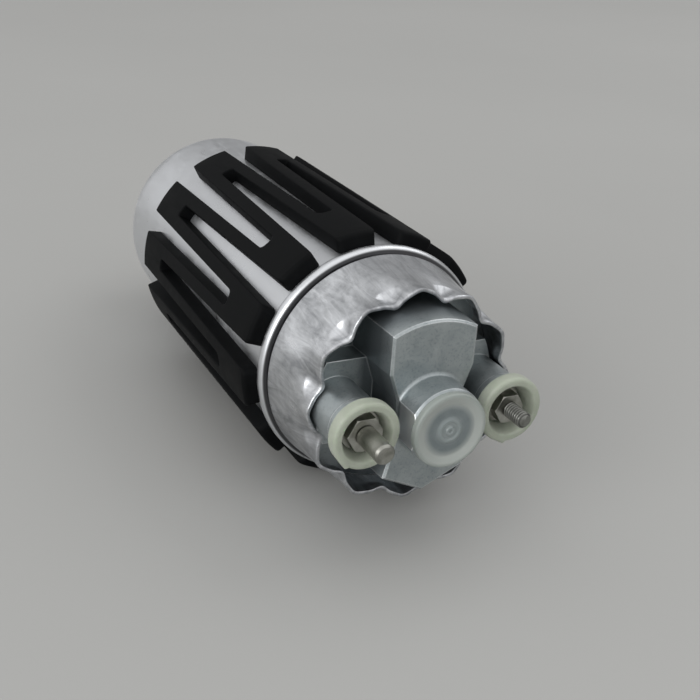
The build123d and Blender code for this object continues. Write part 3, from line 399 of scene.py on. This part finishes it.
def steel(name, light, dark, rough=0.34, edge=0.0002):
    """Plated or ground steel with tarnish clouds and fine marks."""
    g = Graph(name)
    clouds = g.noise(g.place, 260.0, 5.0, 0.6, 0.5)
    marks = g.noise(g.place, 2400.0, 3.0, 0.6)
    colour = g.blend(g.span(clouds, 0.35, 0.7), dark, light)
    tarnish = g.span(clouds, 0.3, 0.7, rough + 0.06, rough)
    roughness = g.math("ADD", tarnish, g.span(marks, 0.3, 0.7, 0.0, 0.05))
    normal = g.bump(marks, 0.000012, 0.3, g.soft_edge(edge) if edge else None)
    return g.set(colour=colour, metallic=1.0, roughness=roughness, normal=normal)


def thread_steel():
    """Plated thread of the small stud, dark in its roots."""
    g = Graph("stud_thread_surface")
    clouds = g.noise(g.place, 260.0, 5.0, 0.6, 0.5)
    stud_axis = (TERMINAL_X * MM, 0, AXIS_Z * MM)
    offset = g.node("VectorMath", {0: g.place, 1: stud_axis}, operation="SUBTRACT")
    across = g.node("VectorMath", {0: offset.outputs[0], 1: (1, 0, 1)}, operation="MULTIPLY")
    radius = g.node("VectorMath", {0: across.outputs[0]}, operation="LENGTH").outputs["Value"]
    tip = g.span(g.polar()[1], (STUD_TIP + 0.3) * MM, (STUD_TIP + 0.1) * MM)
    height = g.span(radius, (STUD_RADIUS - THREAD_DEPTH) * MM, STUD_RADIUS * MM)
    crest = g.math("MAXIMUM", tip, height)
    colour = g.blend(g.span(clouds, 0.35, 0.7), tone(116, 117, 112), tone(150, 151, 146))
    colour = g.blend(crest, tone(60, 60, 58), colour)
    return g.set(colour=colour, metallic=1.0, roughness=g.span(crest, 0, 1, 0.5, 0.28))


def lathe_metal(name, light, dark, rough=0.3):
    """Turned metal with rings left by the tool."""
    g = Graph(name)
    rings = g.noise(g.around(0.2, 3200.0, 3200.0), 1.0, 3.0, 0.6)
    clouds = g.noise(g.place, 200.0, 4.0, 0.6, 0.5)
    colour = g.blend(g.span(clouds, 0.35, 0.7), dark, light)
    tarnish = g.span(clouds, 0.3, 0.7, rough + 0.05, rough)
    roughness = g.math("ADD", tarnish, g.span(rings, 0.3, 0.7, 0.0, 0.06))
    normal = g.bump(rings, 0.00002, 0.35)
    return g.set(colour=colour, metallic=1.0, roughness=roughness, normal=normal)


def plastic(name, light, dark, rough=0.45, scatter=0.0, edge=0.0002):
    """Moulded plastic with slow tone changes and a fine grain."""
    g = Graph(name)
    clouds = g.noise(g.place, 210.0, 4.0, 0.6, 0.4)
    grain = g.noise(g.place, 2200.0, 3.0, 0.6)
    colour = g.blend(g.span(clouds, 0.35, 0.68), dark, light)
    roughness = g.span(clouds, 0.3, 0.7, rough, rough + 0.1)
    normal = g.bump(grain, 0.000012, 0.25, g.soft_edge(edge) if edge else None)
    g.set(colour=colour, roughness=roughness, normal=normal)
    if scatter:
        g.set(subsurface=scatter, subsurface_radius=(0.8, 1.0, 0.75), subsurface_scale=0.002)
    return g.material


def plug_plastic():
    """Milky polyethylene: palest in a ring inside the rim, and paler again at the nub."""
    g = Graph("plug_plastic_surface")
    clouds = g.noise(g.place, 260.0, 4.0, 0.6, 0.6)
    radius = g.polar()[2]
    colour = g.blend(g.span(clouds, 0.35, 0.68), tone(104, 113, 115), tone(116, 124, 125))
    colour = g.blend(g.span(radius, 4.2 * MM, 2.6 * MM), colour, tone(132, 140, 140))
    colour = g.blend(g.span(radius, 5.2 * MM, 6.9 * MM), colour, tone(160, 165, 161))
    colour = g.blend(g.span(radius, 8.2 * MM, 9.2 * MM), colour, tone(140, 146, 142))
    g.set(colour=colour, roughness=g.span(clouds, 0.3, 0.7, 0.3, 0.4))
    return g.set(subsurface=0.4, subsurface_radius=(0.9, 1.0, 1.0), subsurface_scale=0.002)


def wound(name, light, dark, pitch):
    """Lacquered copper windings: ridges of wire laid along the pump."""
    g = Graph(name)
    wires = g.noise(g.around(pitch, 160.0, 900.0), 1.0, 2.0, 0.5)
    clouds = g.noise(g.place, 300.0, 4.0)
    colour = g.blend(g.span(wires, 0.35, 0.65), dark, light)
    normal = g.bump(wires, 0.0001, 0.6)
    rough = g.span(clouds, 0.3, 0.7, 0.3, 0.42)
    return g.set(colour=colour, metallic=0.9, roughness=rough, normal=normal)


def mesh_weave(name, light, dark):
    """Fine plastic mesh: threads crossing round and along the strainer."""
    g = Graph(name)
    angle, station = g.polar()[:2]
    round_threads = g.math("SINE", g.math("MULTIPLY", angle, 60.0))
    long_threads = g.math("SINE", g.math("MULTIPLY", station, 9000.0))
    height = g.math("MAXIMUM", round_threads, long_threads)
    colour = g.blend(g.span(height, -0.2, 0.5), dark, light)
    return g.set(colour=colour, roughness=0.5, normal=g.bump(height, 0.0001, 0.6))


can_surface = can_metal()
rubber_surface = sleeve_rubber()
casting_surface = casting()
terminal_surface = steel("terminal_steel_surface", tone(176, 176, 169), tone(132, 132, 125), 0.3)
thread_surface = thread_steel()
insulator_surface = plastic(
    "insulator_plastic_surface", tone(166, 171, 158), tone(154, 160, 146), 0.4, 0.5, 0
)
plug_surface = plug_plastic()
union_surface = lathe_metal("union_aluminium_surface", tone(205, 206, 208), tone(170, 171, 175), 0.3)
seal_surface = plastic("seal_rubber_surface", tone(34, 34, 34), tone(22, 22, 22), 0.5)

slot_surfaces = {
    "seal_rubber": seal_surface,
    "valve_brass": steel("valve_brass_surface", tone(214, 182, 112), tone(160, 128, 70), 0.28),
    "spring_steel": steel("spring_steel_surface", tone(190, 190, 192), tone(130, 130, 134), 0.26),
    "terminal_steel": terminal_surface,
    "insulator_plastic": insulator_surface,
    "holder_plastic": plastic("holder_plastic_surface", tone(52, 52, 54), tone(36, 36, 38), 0.5),
    "ferrite": plastic("ferrite_surface", tone(84, 84, 88), tone(58, 58, 62), 0.6),
    "copper": steel("copper_surface", tone(222, 160, 120), tone(165, 100, 68), 0.3),
    "carbon": plastic("carbon_surface", tone(60, 60, 62), tone(38, 38, 40), 0.55),
    "shaft_steel": steel("shaft_steel_surface", tone(205, 205, 207), tone(165, 165, 168), 0.18),
    "lamination_steel": steel("lamination_steel_surface", tone(150, 150, 153), tone(105, 105, 108), 0.42),
    "enamelled_copper": wound("enamelled_copper_surface", tone(196, 112, 70), tone(120, 58, 34), 60.0),
    "washer_plastic": plastic("washer_plastic_surface", tone(224, 218, 198), tone(200, 194, 172), 0.4),
    "sintered_bronze": steel("sintered_bronze_surface", tone(186, 150, 98), tone(130, 98, 58), 0.5),
    "ring_steel": steel("ring_steel_surface", tone(176, 177, 180), tone(132, 134, 138), 0.36),
    "pump_plate": steel("pump_plate_surface", tone(120, 121, 122), tone(86, 87, 89), 0.48),
    "pump_steel": steel("pump_steel_surface", tone(186, 186, 188), tone(140, 140, 143), 0.22),
    "screw_steel": steel("screw_steel_surface", tone(92, 92, 95), tone(56, 56, 60), 0.4),
    "strainer_plastic": mesh_weave("strainer_plastic_surface", tone(226, 226, 216), tone(150, 150, 140)),
    "can_aluminium": can_surface,
    "sleeve_rubber": rubber_surface,
    "cap_casting": casting_surface,
    "plug_plastic": plug_surface,
    "union_aluminium": union_surface,
}
for subpart in frame["record"]["subparts"]:
    node = nodes[subpart["node"]]
    node.data.materials.clear()
    node.data.materials.append(slot_surfaces[subpart["material_slot"]])


# Housing: bead, groove and a skirt whose rim is crimped in waves, with a press mark in each trough

CAN_WALL = 1.5
SHOULDER = 16.0
SKIRT_TOP = CAN_RADIUS - 0.6
RIM_RADIUS = SKIRT_TOP - 2.5
SHEET = 1.0
WAVE_START = BEAD_Y - 12.0
WAVE_HEIGHT = 1.2963
PRESS_PLACE = 3.1
PRESS_HALF_WIDTH = 3.3
PRESS_HALF_LENGTH = 2.1
PRESS_DEPTH = 0.6
PRESS_SLOPE = 0.75
WAVE_GROWTH = 1.6
WAVE_SHARPNESS = 0.1


def skirt_mean(station):
    share = (SKIRT_START - station) / (SKIRT_START - RIM_Y)
    return SKIRT_TOP + share * (RIM_RADIUS - SKIRT_TOP)


def crimped(station, radius, angle):
    """Adds the rim's waves and press marks to a radius of the skirt."""
    if station > SKIRT_START:
        return radius
    share = max((WAVE_START - station) / (WAVE_START - RIM_Y), 0)
    turn = WAVES * angle
    wave = math.cos(turn) + WAVE_SHARPNESS * (math.cos(3 * turn) - math.cos(2 * turn))
    uneven = 0.09 * math.sin(5 * angle + 1) + 0.06 * math.sin(17 * angle + 2)
    radius += share**WAVE_GROWTH * (WAVE_HEIGHT * wave + uneven)
    across = ((WAVES * angle / TURN) % 1 - 0.5) * TURN / WAVES * radius
    along = station - RIM_Y - PRESS_PLACE
    reach = 1 - (across / PRESS_HALF_WIDTH) ** 2 - (along / PRESS_HALF_LENGTH) ** 2
    if reach > 0:
        radius -= PRESS_DEPTH * reach**PRESS_SLOPE
    return radius


def shoulder_arc(radius, steps):
    """Points round the far end's shoulder, from the barrel to the flat end."""
    centre = (BACK_Y - SHOULDER, CAN_RADIUS - SHOULDER)
    return [
        (
            centre[0] + radius * math.sin(math.pi / 2 * step / steps),
            centre[1] + radius * math.cos(math.pi / 2 * step / steps),
        )
        for step in range(steps + 1)
    ]


NECK_HOLE = 10.2
GROOVE_FLOOR = SKIRT_TOP - 0.7
BEAD_HALF = 1.6
BEAD_STEPS = 14
bead_points = []
for step in range(BEAD_STEPS + 1):
    swing = math.pi * step / BEAD_STEPS
    bead_points.append(
        (BEAD_Y + BEAD_HALF * math.cos(swing), CAN_RADIUS + BEAD_HEIGHT * math.sin(swing))
    )
outer_line = rounded(
    [
        (BEAD_Y - BEAD_HALF, CAN_RADIUS, 0),
        (BEAD_Y - 1.75, GROOVE_FLOOR, 0.15),
        (SKIRT_START + 0.1, GROOVE_FLOOR, 0.15),
        (SKIRT_START, SKIRT_TOP + 0.05, 0.2),
        (SKIRT_START - 0.9, skirt_mean(SKIRT_START - 0.9), 0.5),
        (WAVE_START, skirt_mean(WAVE_START), 0),
    ],
    4,
    False,
)
skirt_stations = spaced(WAVE_START, RIM_Y + 0.35, 0.33)[1:]
can_loop = [(BACK_Y, NECK_HOLE)]
can_loop += shoulder_arc(SHOULDER, 14)[::-1]
barrel_stations = spaced(BACK_Y - SHOULDER, BEAD_Y + BEAD_HALF, 9.0)[1:-1]
can_loop += [(station, CAN_RADIUS) for station in barrel_stations]
can_loop += bead_points + outer_line[1:]
can_loop += [(station, skirt_mean(station)) for station in skirt_stations]
can_loop += [
    (RIM_Y + 0.08, RIM_RADIUS - 0.08),
    (RIM_Y, RIM_RADIUS - 0.3),
    (RIM_Y, RIM_RADIUS - SHEET + 0.3),
    (RIM_Y + 0.08, RIM_RADIUS - SHEET + 0.08),
]
can_loop += [(station, skirt_mean(station) - SHEET) for station in skirt_stations[::-1]]
can_loop += [(WAVE_START, skirt_mean(WAVE_START) - SHEET), (BEAD_Y - BEAD_HALF, CAN_RADIUS - CAN_WALL)]
can_loop += shoulder_arc(SHOULDER - CAN_WALL, 10)
can_loop += [(BACK_Y - CAN_WALL, NECK_HOLE)]
can_piece = turned("can_shell", can_loop, can_surface, 384, crimped, crease=50.0)
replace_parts(can_piece, "housing_can")


# Rubber sleeve: one strip folded back and forth, drawn flat for one fold and wrapped round the can

CELLS = 12
FIRST_PAD = math.radians(98.0)
HALF_CELL = math.pi * SLEEVE_RADIUS / CELLS
FRONT_SLOT_END = SLEEVE_LENGTH - 16.1
BACK_SLOT_END = 18.4
WALL_SPREAD = 0.4
EDGE_STEPS = 5
EDGE_RADIUS = 0.45
PAD_END_EXTRA = 0.8
PAD_END_REACH = 2.4
PAD_CORNER = 1.7
LINE_PITCH = 1.6
GRID_PITCH = 2.2
FRONT_SLOT_MOUTH = 3.55
FRONT_SLOT_HALF = 1.8
BACK_SLOT_MOUTH = 3.3
BACK_SLOT_HALF = 2.1


def dense(points, pitch):
    """Points along an open line, no further apart than a pitch."""
    line = [Vector(points[0])]
    for point in points[1:]:
        start = line[-1]
        end = Vector(point)
        count = max(1, math.ceil((end - start).length / pitch))
        line += [start.lerp(end, step / count) for step in range(1, count + 1)]
    return line


def outward(line):
    """Unit normals to the left of an open line, which is away from the rubber."""
    normals = []
    for index in range(len(line)):
        ahead = line[min(index + 1, len(line) - 1)] - line[index]
        behind = line[index] - line[max(index - 1, 0)]
        side = (ahead.normalized() + behind.normalized()).normalized()
        normals.append(Vector((-side.y, side.x)))
    return normals


# The two edges of one fold: round the front pad, and down and up the back slot
front_edge = rounded(
    [
        (HALF_CELL, FRONT_SLOT_END, 0),
        (HALF_CELL - FRONT_SLOT_HALF, FRONT_SLOT_END, 1.3),
        (HALF_CELL - FRONT_SLOT_MOUTH, 0, PAD_CORNER),
        (FRONT_SLOT_MOUTH - HALF_CELL, 0, PAD_CORNER),
        (FRONT_SLOT_HALF - HALF_CELL, FRONT_SLOT_END, 1.3),
        (-HALF_CELL, FRONT_SLOT_END, 0),
    ],
    6,
    False,
)
back_edge = rounded(
    [
        (-HALF_CELL, SLEEVE_LENGTH, 0),
        (-BACK_SLOT_MOUTH, SLEEVE_LENGTH, 0.5),
        (-BACK_SLOT_HALF, BACK_SLOT_END, 1.5),
        (BACK_SLOT_HALF, BACK_SLOT_END, 1.5),
        (BACK_SLOT_MOUTH, SLEEVE_LENGTH, 0.5),
        (HALF_CELL, SLEEVE_LENGTH, 0),
    ],
    6,
    False,
)


def edge_round(point):
    """Radius of the top edge: larger along the front pads' ends than elsewhere."""
    share = min(max(1 - point.y / PAD_END_REACH, 0), 1)
    return EDGE_RADIUS + PAD_END_EXTRA * share * share * (3 - 2 * share)


def wrap(point, radius):
    """Puts a point of the flat drawing round the can at a radius, flat where the pump lies."""
    angle = fold_angle + point.x / SLEEVE_RADIUS
    height = AXIS_Z + radius * math.sin(angle)
    return (radius * math.cos(angle), SLEEVE_FRONT + point.y, max(height, 0.0))


def filled(rim):
    """Triangles inside a closed flat line, with a grid of points so that they follow a curve."""
    points = list(rim)
    count = len(points)
    low_x = -HALF_CELL + GRID_PITCH / 2
    for column in range(int(2 * HALF_CELL / GRID_PITCH)):
        for row in range(1, int(SLEEVE_LENGTH / (2 * GRID_PITCH))):
            points.append(Vector((low_x + column * GRID_PITCH, row * 2 * GRID_PITCH)))
    found = delaunay_2d_cdt(points, [], [list(range(count))], 1, 1e-5)
    return found[0], found[2]


sleeve_vertices = []
sleeve_faces = []
edge_lines = []
for corners in (front_edge, back_edge):
    line = dense(corners, LINE_PITCH)
    normals = outward(line)
    rings = [([point + normal * WALL_SPREAD for point, normal in zip(line, normals)], None)]
    for step in range(EDGE_STEPS + 1):
        swing = math.pi / 2 * step / EDGE_STEPS
        ring = []
        drops = []
        for point, normal in zip(line, normals):
            bend = edge_round(point)
            ring.append(point - normal * bend * (1 - math.cos(swing)))
            drops.append(bend * (1 - math.sin(swing)))
        rings.append((ring, drops))
    edge_lines.append(rings)
front_rings, back_rings = edge_lines
top_points, top_faces = filled(front_rings[-1][0] + back_rings[-1][0])
foot_points, foot_faces = filled(front_rings[0][0] + back_rings[0][0])
SLEEVE_BORE = CAN_RADIUS + 0.02
for cell in range(CELLS):
    fold_angle = FIRST_PAD + TURN * cell / CELLS
    for rings in edge_lines:
        first = len(sleeve_vertices)
        width = len(rings[0][0])
        for ring, drops in rings:
            for index, point in enumerate(ring):
                radius = SLEEVE_RADIUS - drops[index] if drops else SLEEVE_BORE
                sleeve_vertices.append(wrap(point, radius))
        for level in range(len(rings) - 1):
            for index in range(width - 1):
                start = first + level * width + index
                sleeve_faces.append((start, start + 1, start + width + 1, start + width))
    for points, faces, radius in (
        (top_points, top_faces, SLEEVE_RADIUS),
        (foot_points, foot_faces, SLEEVE_BORE),
    ):
        first = len(sleeve_vertices)
        sleeve_vertices += [wrap(point, radius) for point in points]
        sleeve_faces += [tuple(first + index for index in face) for face in faces]
sleeve_piece = finish_mesh(
    "rubber_sleeve", sleeve_vertices, sleeve_faces, rubber_surface, 42.0
)
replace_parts(sleeve_piece, "damping_sleeve")


# Terminals: insulator cups with soft lips and a key each, tower tops, and a threaded small stud

END_PLATE_BACK = BEAD_Y - 6.0
CUP_FRONT = BRIDGE_TOP - 6.0
CUP_BACK = CUP_FRONT + 3.4
CUP_FLOOR = BRIDGE_TOP - 1.0
CUP_MOUTH_RADIUS = 6.4
CUP_SLOPE_RADIUS = 6.0
CUP_FLOOR_RADIUS = 5.05
CUP_NECK_RADIUS = 3.55
CUP_RADIUS = 8.4
TOWER_RADIUS = 6.9
CUP_SEAT_RADIUS = 6.1
KEY_WIDTH = math.radians(21)
KEY_RETURN = math.radians(5)


def key_reach(key_angle):
    """A cup's outline with one corner where its round side runs out straight."""

    def reach(station, radius, angle):
        if radius < CUP_RADIUS - 1.6 or station > CUP_BACK + 0.1:
            return radius
        lean = (angle - key_angle + math.pi) % TURN - math.pi
        if -KEY_WIDTH <= lean <= 0:
            return radius / math.cos(lean + KEY_WIDTH)
        if 0 < lean < KEY_RETURN:
            return radius * (1 + (1 / math.cos(KEY_WIDTH) - 1) * (1 - lean / KEY_RETURN))
        return radius

    return reach


for side, size_name, core, key_angle in (
    (-1, "large", 2.1, math.radians(236)),
    (1, "small", 1.65, math.radians(262)),
):
    cup_loop = rounded(
        [
            (CUP_FRONT, CUP_MOUTH_RADIUS, 0.6),
            (CUP_FRONT, CUP_RADIUS, 0.9),
            (CUP_BACK, CUP_RADIUS, 0.3),
            (CUP_BACK, CUP_SEAT_RADIUS, 0),
            (BRIDGE_TOP, CUP_SEAT_RADIUS, 0),
            (BRIDGE_TOP, CUP_NECK_RADIUS, 0),
            (END_PLATE_BACK, CUP_NECK_RADIUS, 0),
            (END_PLATE_BACK, core, 0),
            (CUP_FLOOR, core, 0),
            (CUP_FLOOR, CUP_FLOOR_RADIUS, 0),
            (CUP_FLOOR - 1.0, CUP_FLOOR_RADIUS, 0.3),
            (CUP_FRONT + 0.9, CUP_SLOPE_RADIUS, 0.4),
        ],
        6,
    )
    cup = turned(
        f"{size_name}_insulator_cup",
        cup_loop,
        insulator_surface,
        180,
        key_reach(key_angle),
        side * TERMINAL_X,
    )
    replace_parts(cup, f"{size_name}_terminal_insulator")
    tower_top = rounded(
        [
            (CUP_BACK, CUP_SEAT_RADIUS, 0),
            (CUP_BACK, TOWER_RADIUS, 0.3),
            (BRIDGE_TOP + 0.6, TOWER_RADIUS, 0),
            (BRIDGE_TOP + 0.6, CUP_SEAT_RADIUS, 0),
        ]
    )
    turned(
        f"{size_name}_tower_top", tower_top, casting_surface, x=side * TERMINAL_X
    )

NUT_FRONT = BRIDGE_TOP - 5.0
SHANK_RADIUS = 1.65
HEAD_LENGTH = 3.0
HEAD_RADIUS = 4.2
HEAD_FLAT_HALF = 3.64


def stud_reach(station, radius, angle):
    """Cuts the stud's thread in front of the nut and six flats on its head."""
    if station < NUT_FRONT - 0.2 and radius > STUD_RADIUS - 0.6:
        return radius - THREAD_DEPTH * (1 - thread_share(station, angle, STUD_PITCH))
    if radius > HEAD_FLAT_HALF:
        return HEAD_FLAT_HALF / math.cos((angle + math.pi / 6) % (math.pi / 3) - math.pi / 6)
    return radius


stud_loop = [(STUD_TIP, 0.0), (STUD_TIP, STUD_RADIUS - 0.5), (STUD_TIP + 0.45, STUD_RADIUS)]
stud_loop += [(y, STUD_RADIUS) for y in spaced(STUD_TIP + 0.45, NUT_FRONT - 0.25, 0.07)[1:]]
stud_loop += [
    (NUT_FRONT - 0.15, SHANK_RADIUS),
    (STUD_BACK - HEAD_LENGTH, SHANK_RADIUS),
    (STUD_BACK - HEAD_LENGTH, HEAD_RADIUS),
    (STUD_BACK, HEAD_RADIUS),
    (STUD_BACK, 0.0),
]
stud = turned(
    "small_stud_thread",
    stud_loop,
    thread_surface,
    72,
    stud_reach,
    TERMINAL_X,
    crease=60.0,
)
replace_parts(stud, "small_terminal_stud")


# Outlet: protective plug with its dished face and moulded nub, and the port's thread behind it

PLUG_RADIUS = 9.4
SPIGOT_END = BOSS_TOP + 3.6
SPIGOT_BORE = 5.6
plug_loop = rounded(
    [
        (PLUG_FRONT + 0.45, 0.0, 0),
        (PLUG_FRONT + 0.4, 0.35, 0.1),
        (PLUG_FRONT + 0.1, 0.5, 0.15),
        (PLUG_FRONT + 0.1, 1.0, 0.15),
        (PLUG_FRONT + 0.45, 1.25, 0.2),
        (PLUG_FRONT + 0.5, 2.0, 0.2),
        (PLUG_FRONT + 0.3, 2.3, 0.2),
        (PLUG_FRONT + 0.32, 2.8, 0.2),
        (PLUG_FRONT + 0.7, 3.5, 0.4),
        (PLUG_FRONT + 0.7, 6.6, 1.5),
        (PLUG_FRONT, 8.4, 0.8),
        (PLUG_FRONT, PLUG_RADIUS, 0.75),
        (BOSS_TOP, PLUG_RADIUS, 0.35),
        (BOSS_TOP, 6.3, 0.1),
        (SPIGOT_END, 6.15, 0.3),
        (SPIGOT_END, SPIGOT_BORE, 0.2),
        (BOSS_TOP, SPIGOT_BORE, 0.3),
        (BOSS_TOP, 0.0, 0),
    ],
    6,
)
plug = turned(
    "transport_plug",
    plug_loop,
    plug_surface,
    144,
    body="outlet_plug",
    crease=60.0,
)
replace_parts(plug, "outlet_plug")

PORT_RADIUS = 5.25
PORT_PITCH = 1.5
PORT_THREAD_START = BOSS_TOP + 4.0
PORT_THREAD_END = BOSS_TOP + 14.4
THREAD_STEP = 0.16


def port_reach(station, radius, angle):
    """Ridges of the outlet's thread, standing in from its bore."""
    if radius > PORT_RADIUS:
        return radius
    return radius - 0.3 * thread_share(station, angle, PORT_PITCH)


port_stations = spaced(PORT_THREAD_START, PORT_THREAD_END, THREAD_STEP)
port_loop = [(y, PORT_RADIUS) for y in port_stations]
port_loop += [(PORT_THREAD_END, PORT_RADIUS + 0.1), (PORT_THREAD_START, PORT_RADIUS + 0.1)]
turned("outlet_thread", port_loop, casting_surface, 72, port_reach, crease=60.0)


# Inlet union: hexagon collar, turned boss and an M18 x 1.5 thread in its mouth

COLLAR_HALF = 13.5
COLLAR_BACK = BACK_Y + 4.0
BOSS_RADIUS = 12.8
INLET_BORE = 8.25
INLET_THREAD_END = UNION_END - 14.0
STRAINER_SEAT = 7.7
UNION_BORE = 7.0
NECK_RADIUS = 10.0
COLLAR_CORNER = COLLAR_HALF / math.cos(math.pi / 6)


def union_reach(station, radius, angle):
    """Six flats on the collar and the thread in the mouth."""
    if radius > BOSS_RADIUS + 0.01 and BACK_Y - 0.01 <= station <= COLLAR_BACK + 0.01:
        flat = COLLAR_HALF / math.cos((angle + math.pi / 6) % (math.pi / 3) - math.pi / 6)
        return min(radius, flat)
    if radius == INLET_BORE and station < UNION_END - 0.9:
        return radius + 0.7 * thread_share(station, angle, PORT_PITCH)
    return radius


union_loop = rounded(
    [
        (UNION_FRONT, UNION_BORE, 0.3),
        (UNION_FRONT, NECK_RADIUS, 0.5),
        (BACK_Y, NECK_RADIUS, 0),
        (BACK_Y, COLLAR_CORNER - 0.8, 0),
        (BACK_Y + 0.4, COLLAR_CORNER, 0),
        (COLLAR_BACK - 0.4, COLLAR_CORNER, 0),
        (COLLAR_BACK, COLLAR_CORNER - 0.8, 0),
        (COLLAR_BACK, BOSS_RADIUS, 0.5),
        (UNION_END, BOSS_RADIUS, 0.9),
        (UNION_END, INLET_BORE + 1.0, 0.2),
        (UNION_END - 0.9, INLET_BORE, 0),
    ],
    5,
)
inlet_stations = spaced(UNION_END - 0.95, INLET_THREAD_END + 0.1, THREAD_STEP)
union_loop += [(y, INLET_BORE) for y in inlet_stations]
union_loop += [
    (INLET_THREAD_END, INLET_BORE),
    (INLET_THREAD_END, STRAINER_SEAT),
    (INLET_THREAD_END - 1.2, STRAINER_SEAT),
    (INLET_THREAD_END - 1.2, UNION_BORE),
]
union = turned(
    "inlet_union_turned",
    union_loop,
    union_surface,
    144,
    union_reach,
    crease=45.0,
)
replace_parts(union, "inlet_union")


# Seals: round rubber rings in their grooves, and the check valve's washer

SEAL_STEPS = 16
SEAL_SECTION = 0.85
VALVE_SEAL_BORE = 1.6


def ring_seal(name, node, station, radius, section):
    """Round rubber ring that stands for a node."""
    loop = []
    for step in range(SEAL_STEPS):
        swing = TURN * step / SEAL_STEPS
        loop.append((station + section * math.cos(swing), radius + section * math.sin(swing)))
    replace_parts(turned(name, loop, seal_surface, 120), node)


for seal_name, seal_node in (("cap_seal", "end_cap_o_ring"), ("union_seal", "inlet_o_ring")):
    seal_low, seal_high = node_box(seal_node)
    ring_seal(
        seal_name,
        seal_node,
        (seal_low.y + seal_high.y) / 2,
        seal_high.x - SEAL_SECTION,
        SEAL_SECTION,
    )
valve_low, valve_high = node_box("check_valve_seal")
valve_loop = rounded(
    [
        (valve_low.y, VALVE_SEAL_BORE, 0.1),
        (valve_low.y, valve_high.x, 0.25),
        (valve_high.y, valve_high.x, 0.25),
        (valve_high.y, VALVE_SEAL_BORE, 0.1),
    ]
)
valve_seal = turned("valve_seal", valve_loop, seal_surface, 64, body="check_valve")
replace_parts(valve_seal, "check_valve_seal")


# Stage: pale floor, soft light, camera

FLOOR_SIZE = 8.0
bpy.ops.mesh.primitive_plane_add(size=FLOOR_SIZE, location=(0, 0, 0))
floor = bpy.context.object
floor.name = "floor"
floor_graph = Graph("floor_surface")
floor_clouds = floor_graph.noise(floor_graph.place, 3.0, 3.0)
floor_colour = floor_graph.blend(
    floor_graph.span(floor_clouds, 0.3, 0.7), tone(162, 162, 160), tone(165, 165, 163)
)
floor.data.materials.append(floor_graph.set(colour=floor_colour, roughness=0.5, specular=0.3))


def area_light(name, place, target, size, power):
    """Rectangular light that faces a target."""
    lamp = bpy.data.lights.new(name, "AREA")
    lamp.shape = "RECTANGLE"
    lamp.size, lamp.size_y = size
    lamp.energy = power
    light = bpy.data.objects.new(name, lamp)
    light.location = place
    light.rotation_euler = (Vector(target) - Vector(place)).to_track_quat("-Z", "Y").to_euler()
    bpy.context.scene.collection.objects.link(light)


CENTRE = (0.0, 0.0, 0.03)
area_light("window", (1.3, 0.2, 1.3), CENTRE, (1.5, 1.1), 7.0)
area_light("overhead", (0.2, -0.1, 2.4), CENTRE, (2.6, 2.6), 5.5)
area_light("side_window", (-1.4, -0.6, 0.6), CENTRE, (1.1, 0.9), 11.0)

# Sky: brightest on the left in front, dim behind
SKY_SIDE = (-0.7, -0.5, 0.3)
SKY_SPAN = (-0.5, 0.1)
SKY_STRENGTH = (0.4, 1.15)
world = bpy.data.worlds.new("studio")
world.use_nodes = True
world_nodes = world.node_tree.nodes
world_links = world.node_tree.links
background = world_nodes["Background"]
background.inputs["Color"].default_value = (0.8, 0.8, 0.8, 1)
direction = world_nodes.new("ShaderNodeTexCoord")
lean = world_nodes.new("ShaderNodeVectorMath")
lean.operation = "DOT_PRODUCT"
lean.inputs[1].default_value = SKY_SIDE
fall = world_nodes.new("ShaderNodeMapRange")
for socket, value in zip(list(fall.inputs)[1:5], SKY_SPAN + SKY_STRENGTH):
    socket.default_value = value
world_links.new(direction.outputs["Generated"], lean.inputs[0])
world_links.new(lean.outputs["Value"], fall.inputs[0])
world_links.new(fall.outputs[0], background.inputs["Strength"])
bpy.context.scene.world = world

CAMERA_PLACE = (-123.18, -277.74, AXIS_Z + 118.73)
CAMERA_AZIMUTH = -27.469
CAMERA_ELEVATION = 24.389
CAMERA_ROLL = 3.735
FOCAL_PIXELS = 1098.3
FRAME_PIXELS = 700.0
SENSOR = 36.0

camera_data = bpy.data.cameras.new("photo_camera")
camera_data.sensor_width = SENSOR
camera_data.lens = FOCAL_PIXELS / FRAME_PIXELS * SENSOR
camera_data.clip_start = 0.01
camera = bpy.data.objects.new("photo_camera", camera_data)
bpy.context.scene.collection.objects.link(camera)
level = Euler((math.radians(90 - CAMERA_ELEVATION), 0, math.radians(CAMERA_AZIMUTH))).to_matrix()
roll = Matrix.Rotation(math.radians(CAMERA_ROLL), 3, "Z")
camera.matrix_world = Matrix.Translation(Vector(CAMERA_PLACE) * MM) @ (level @ roll).to_4x4()
bpy.context.scene.camera = camera
bpy.context.scene.view_settings.view_transform = "Standard"

bpy.context.view_layer.update()
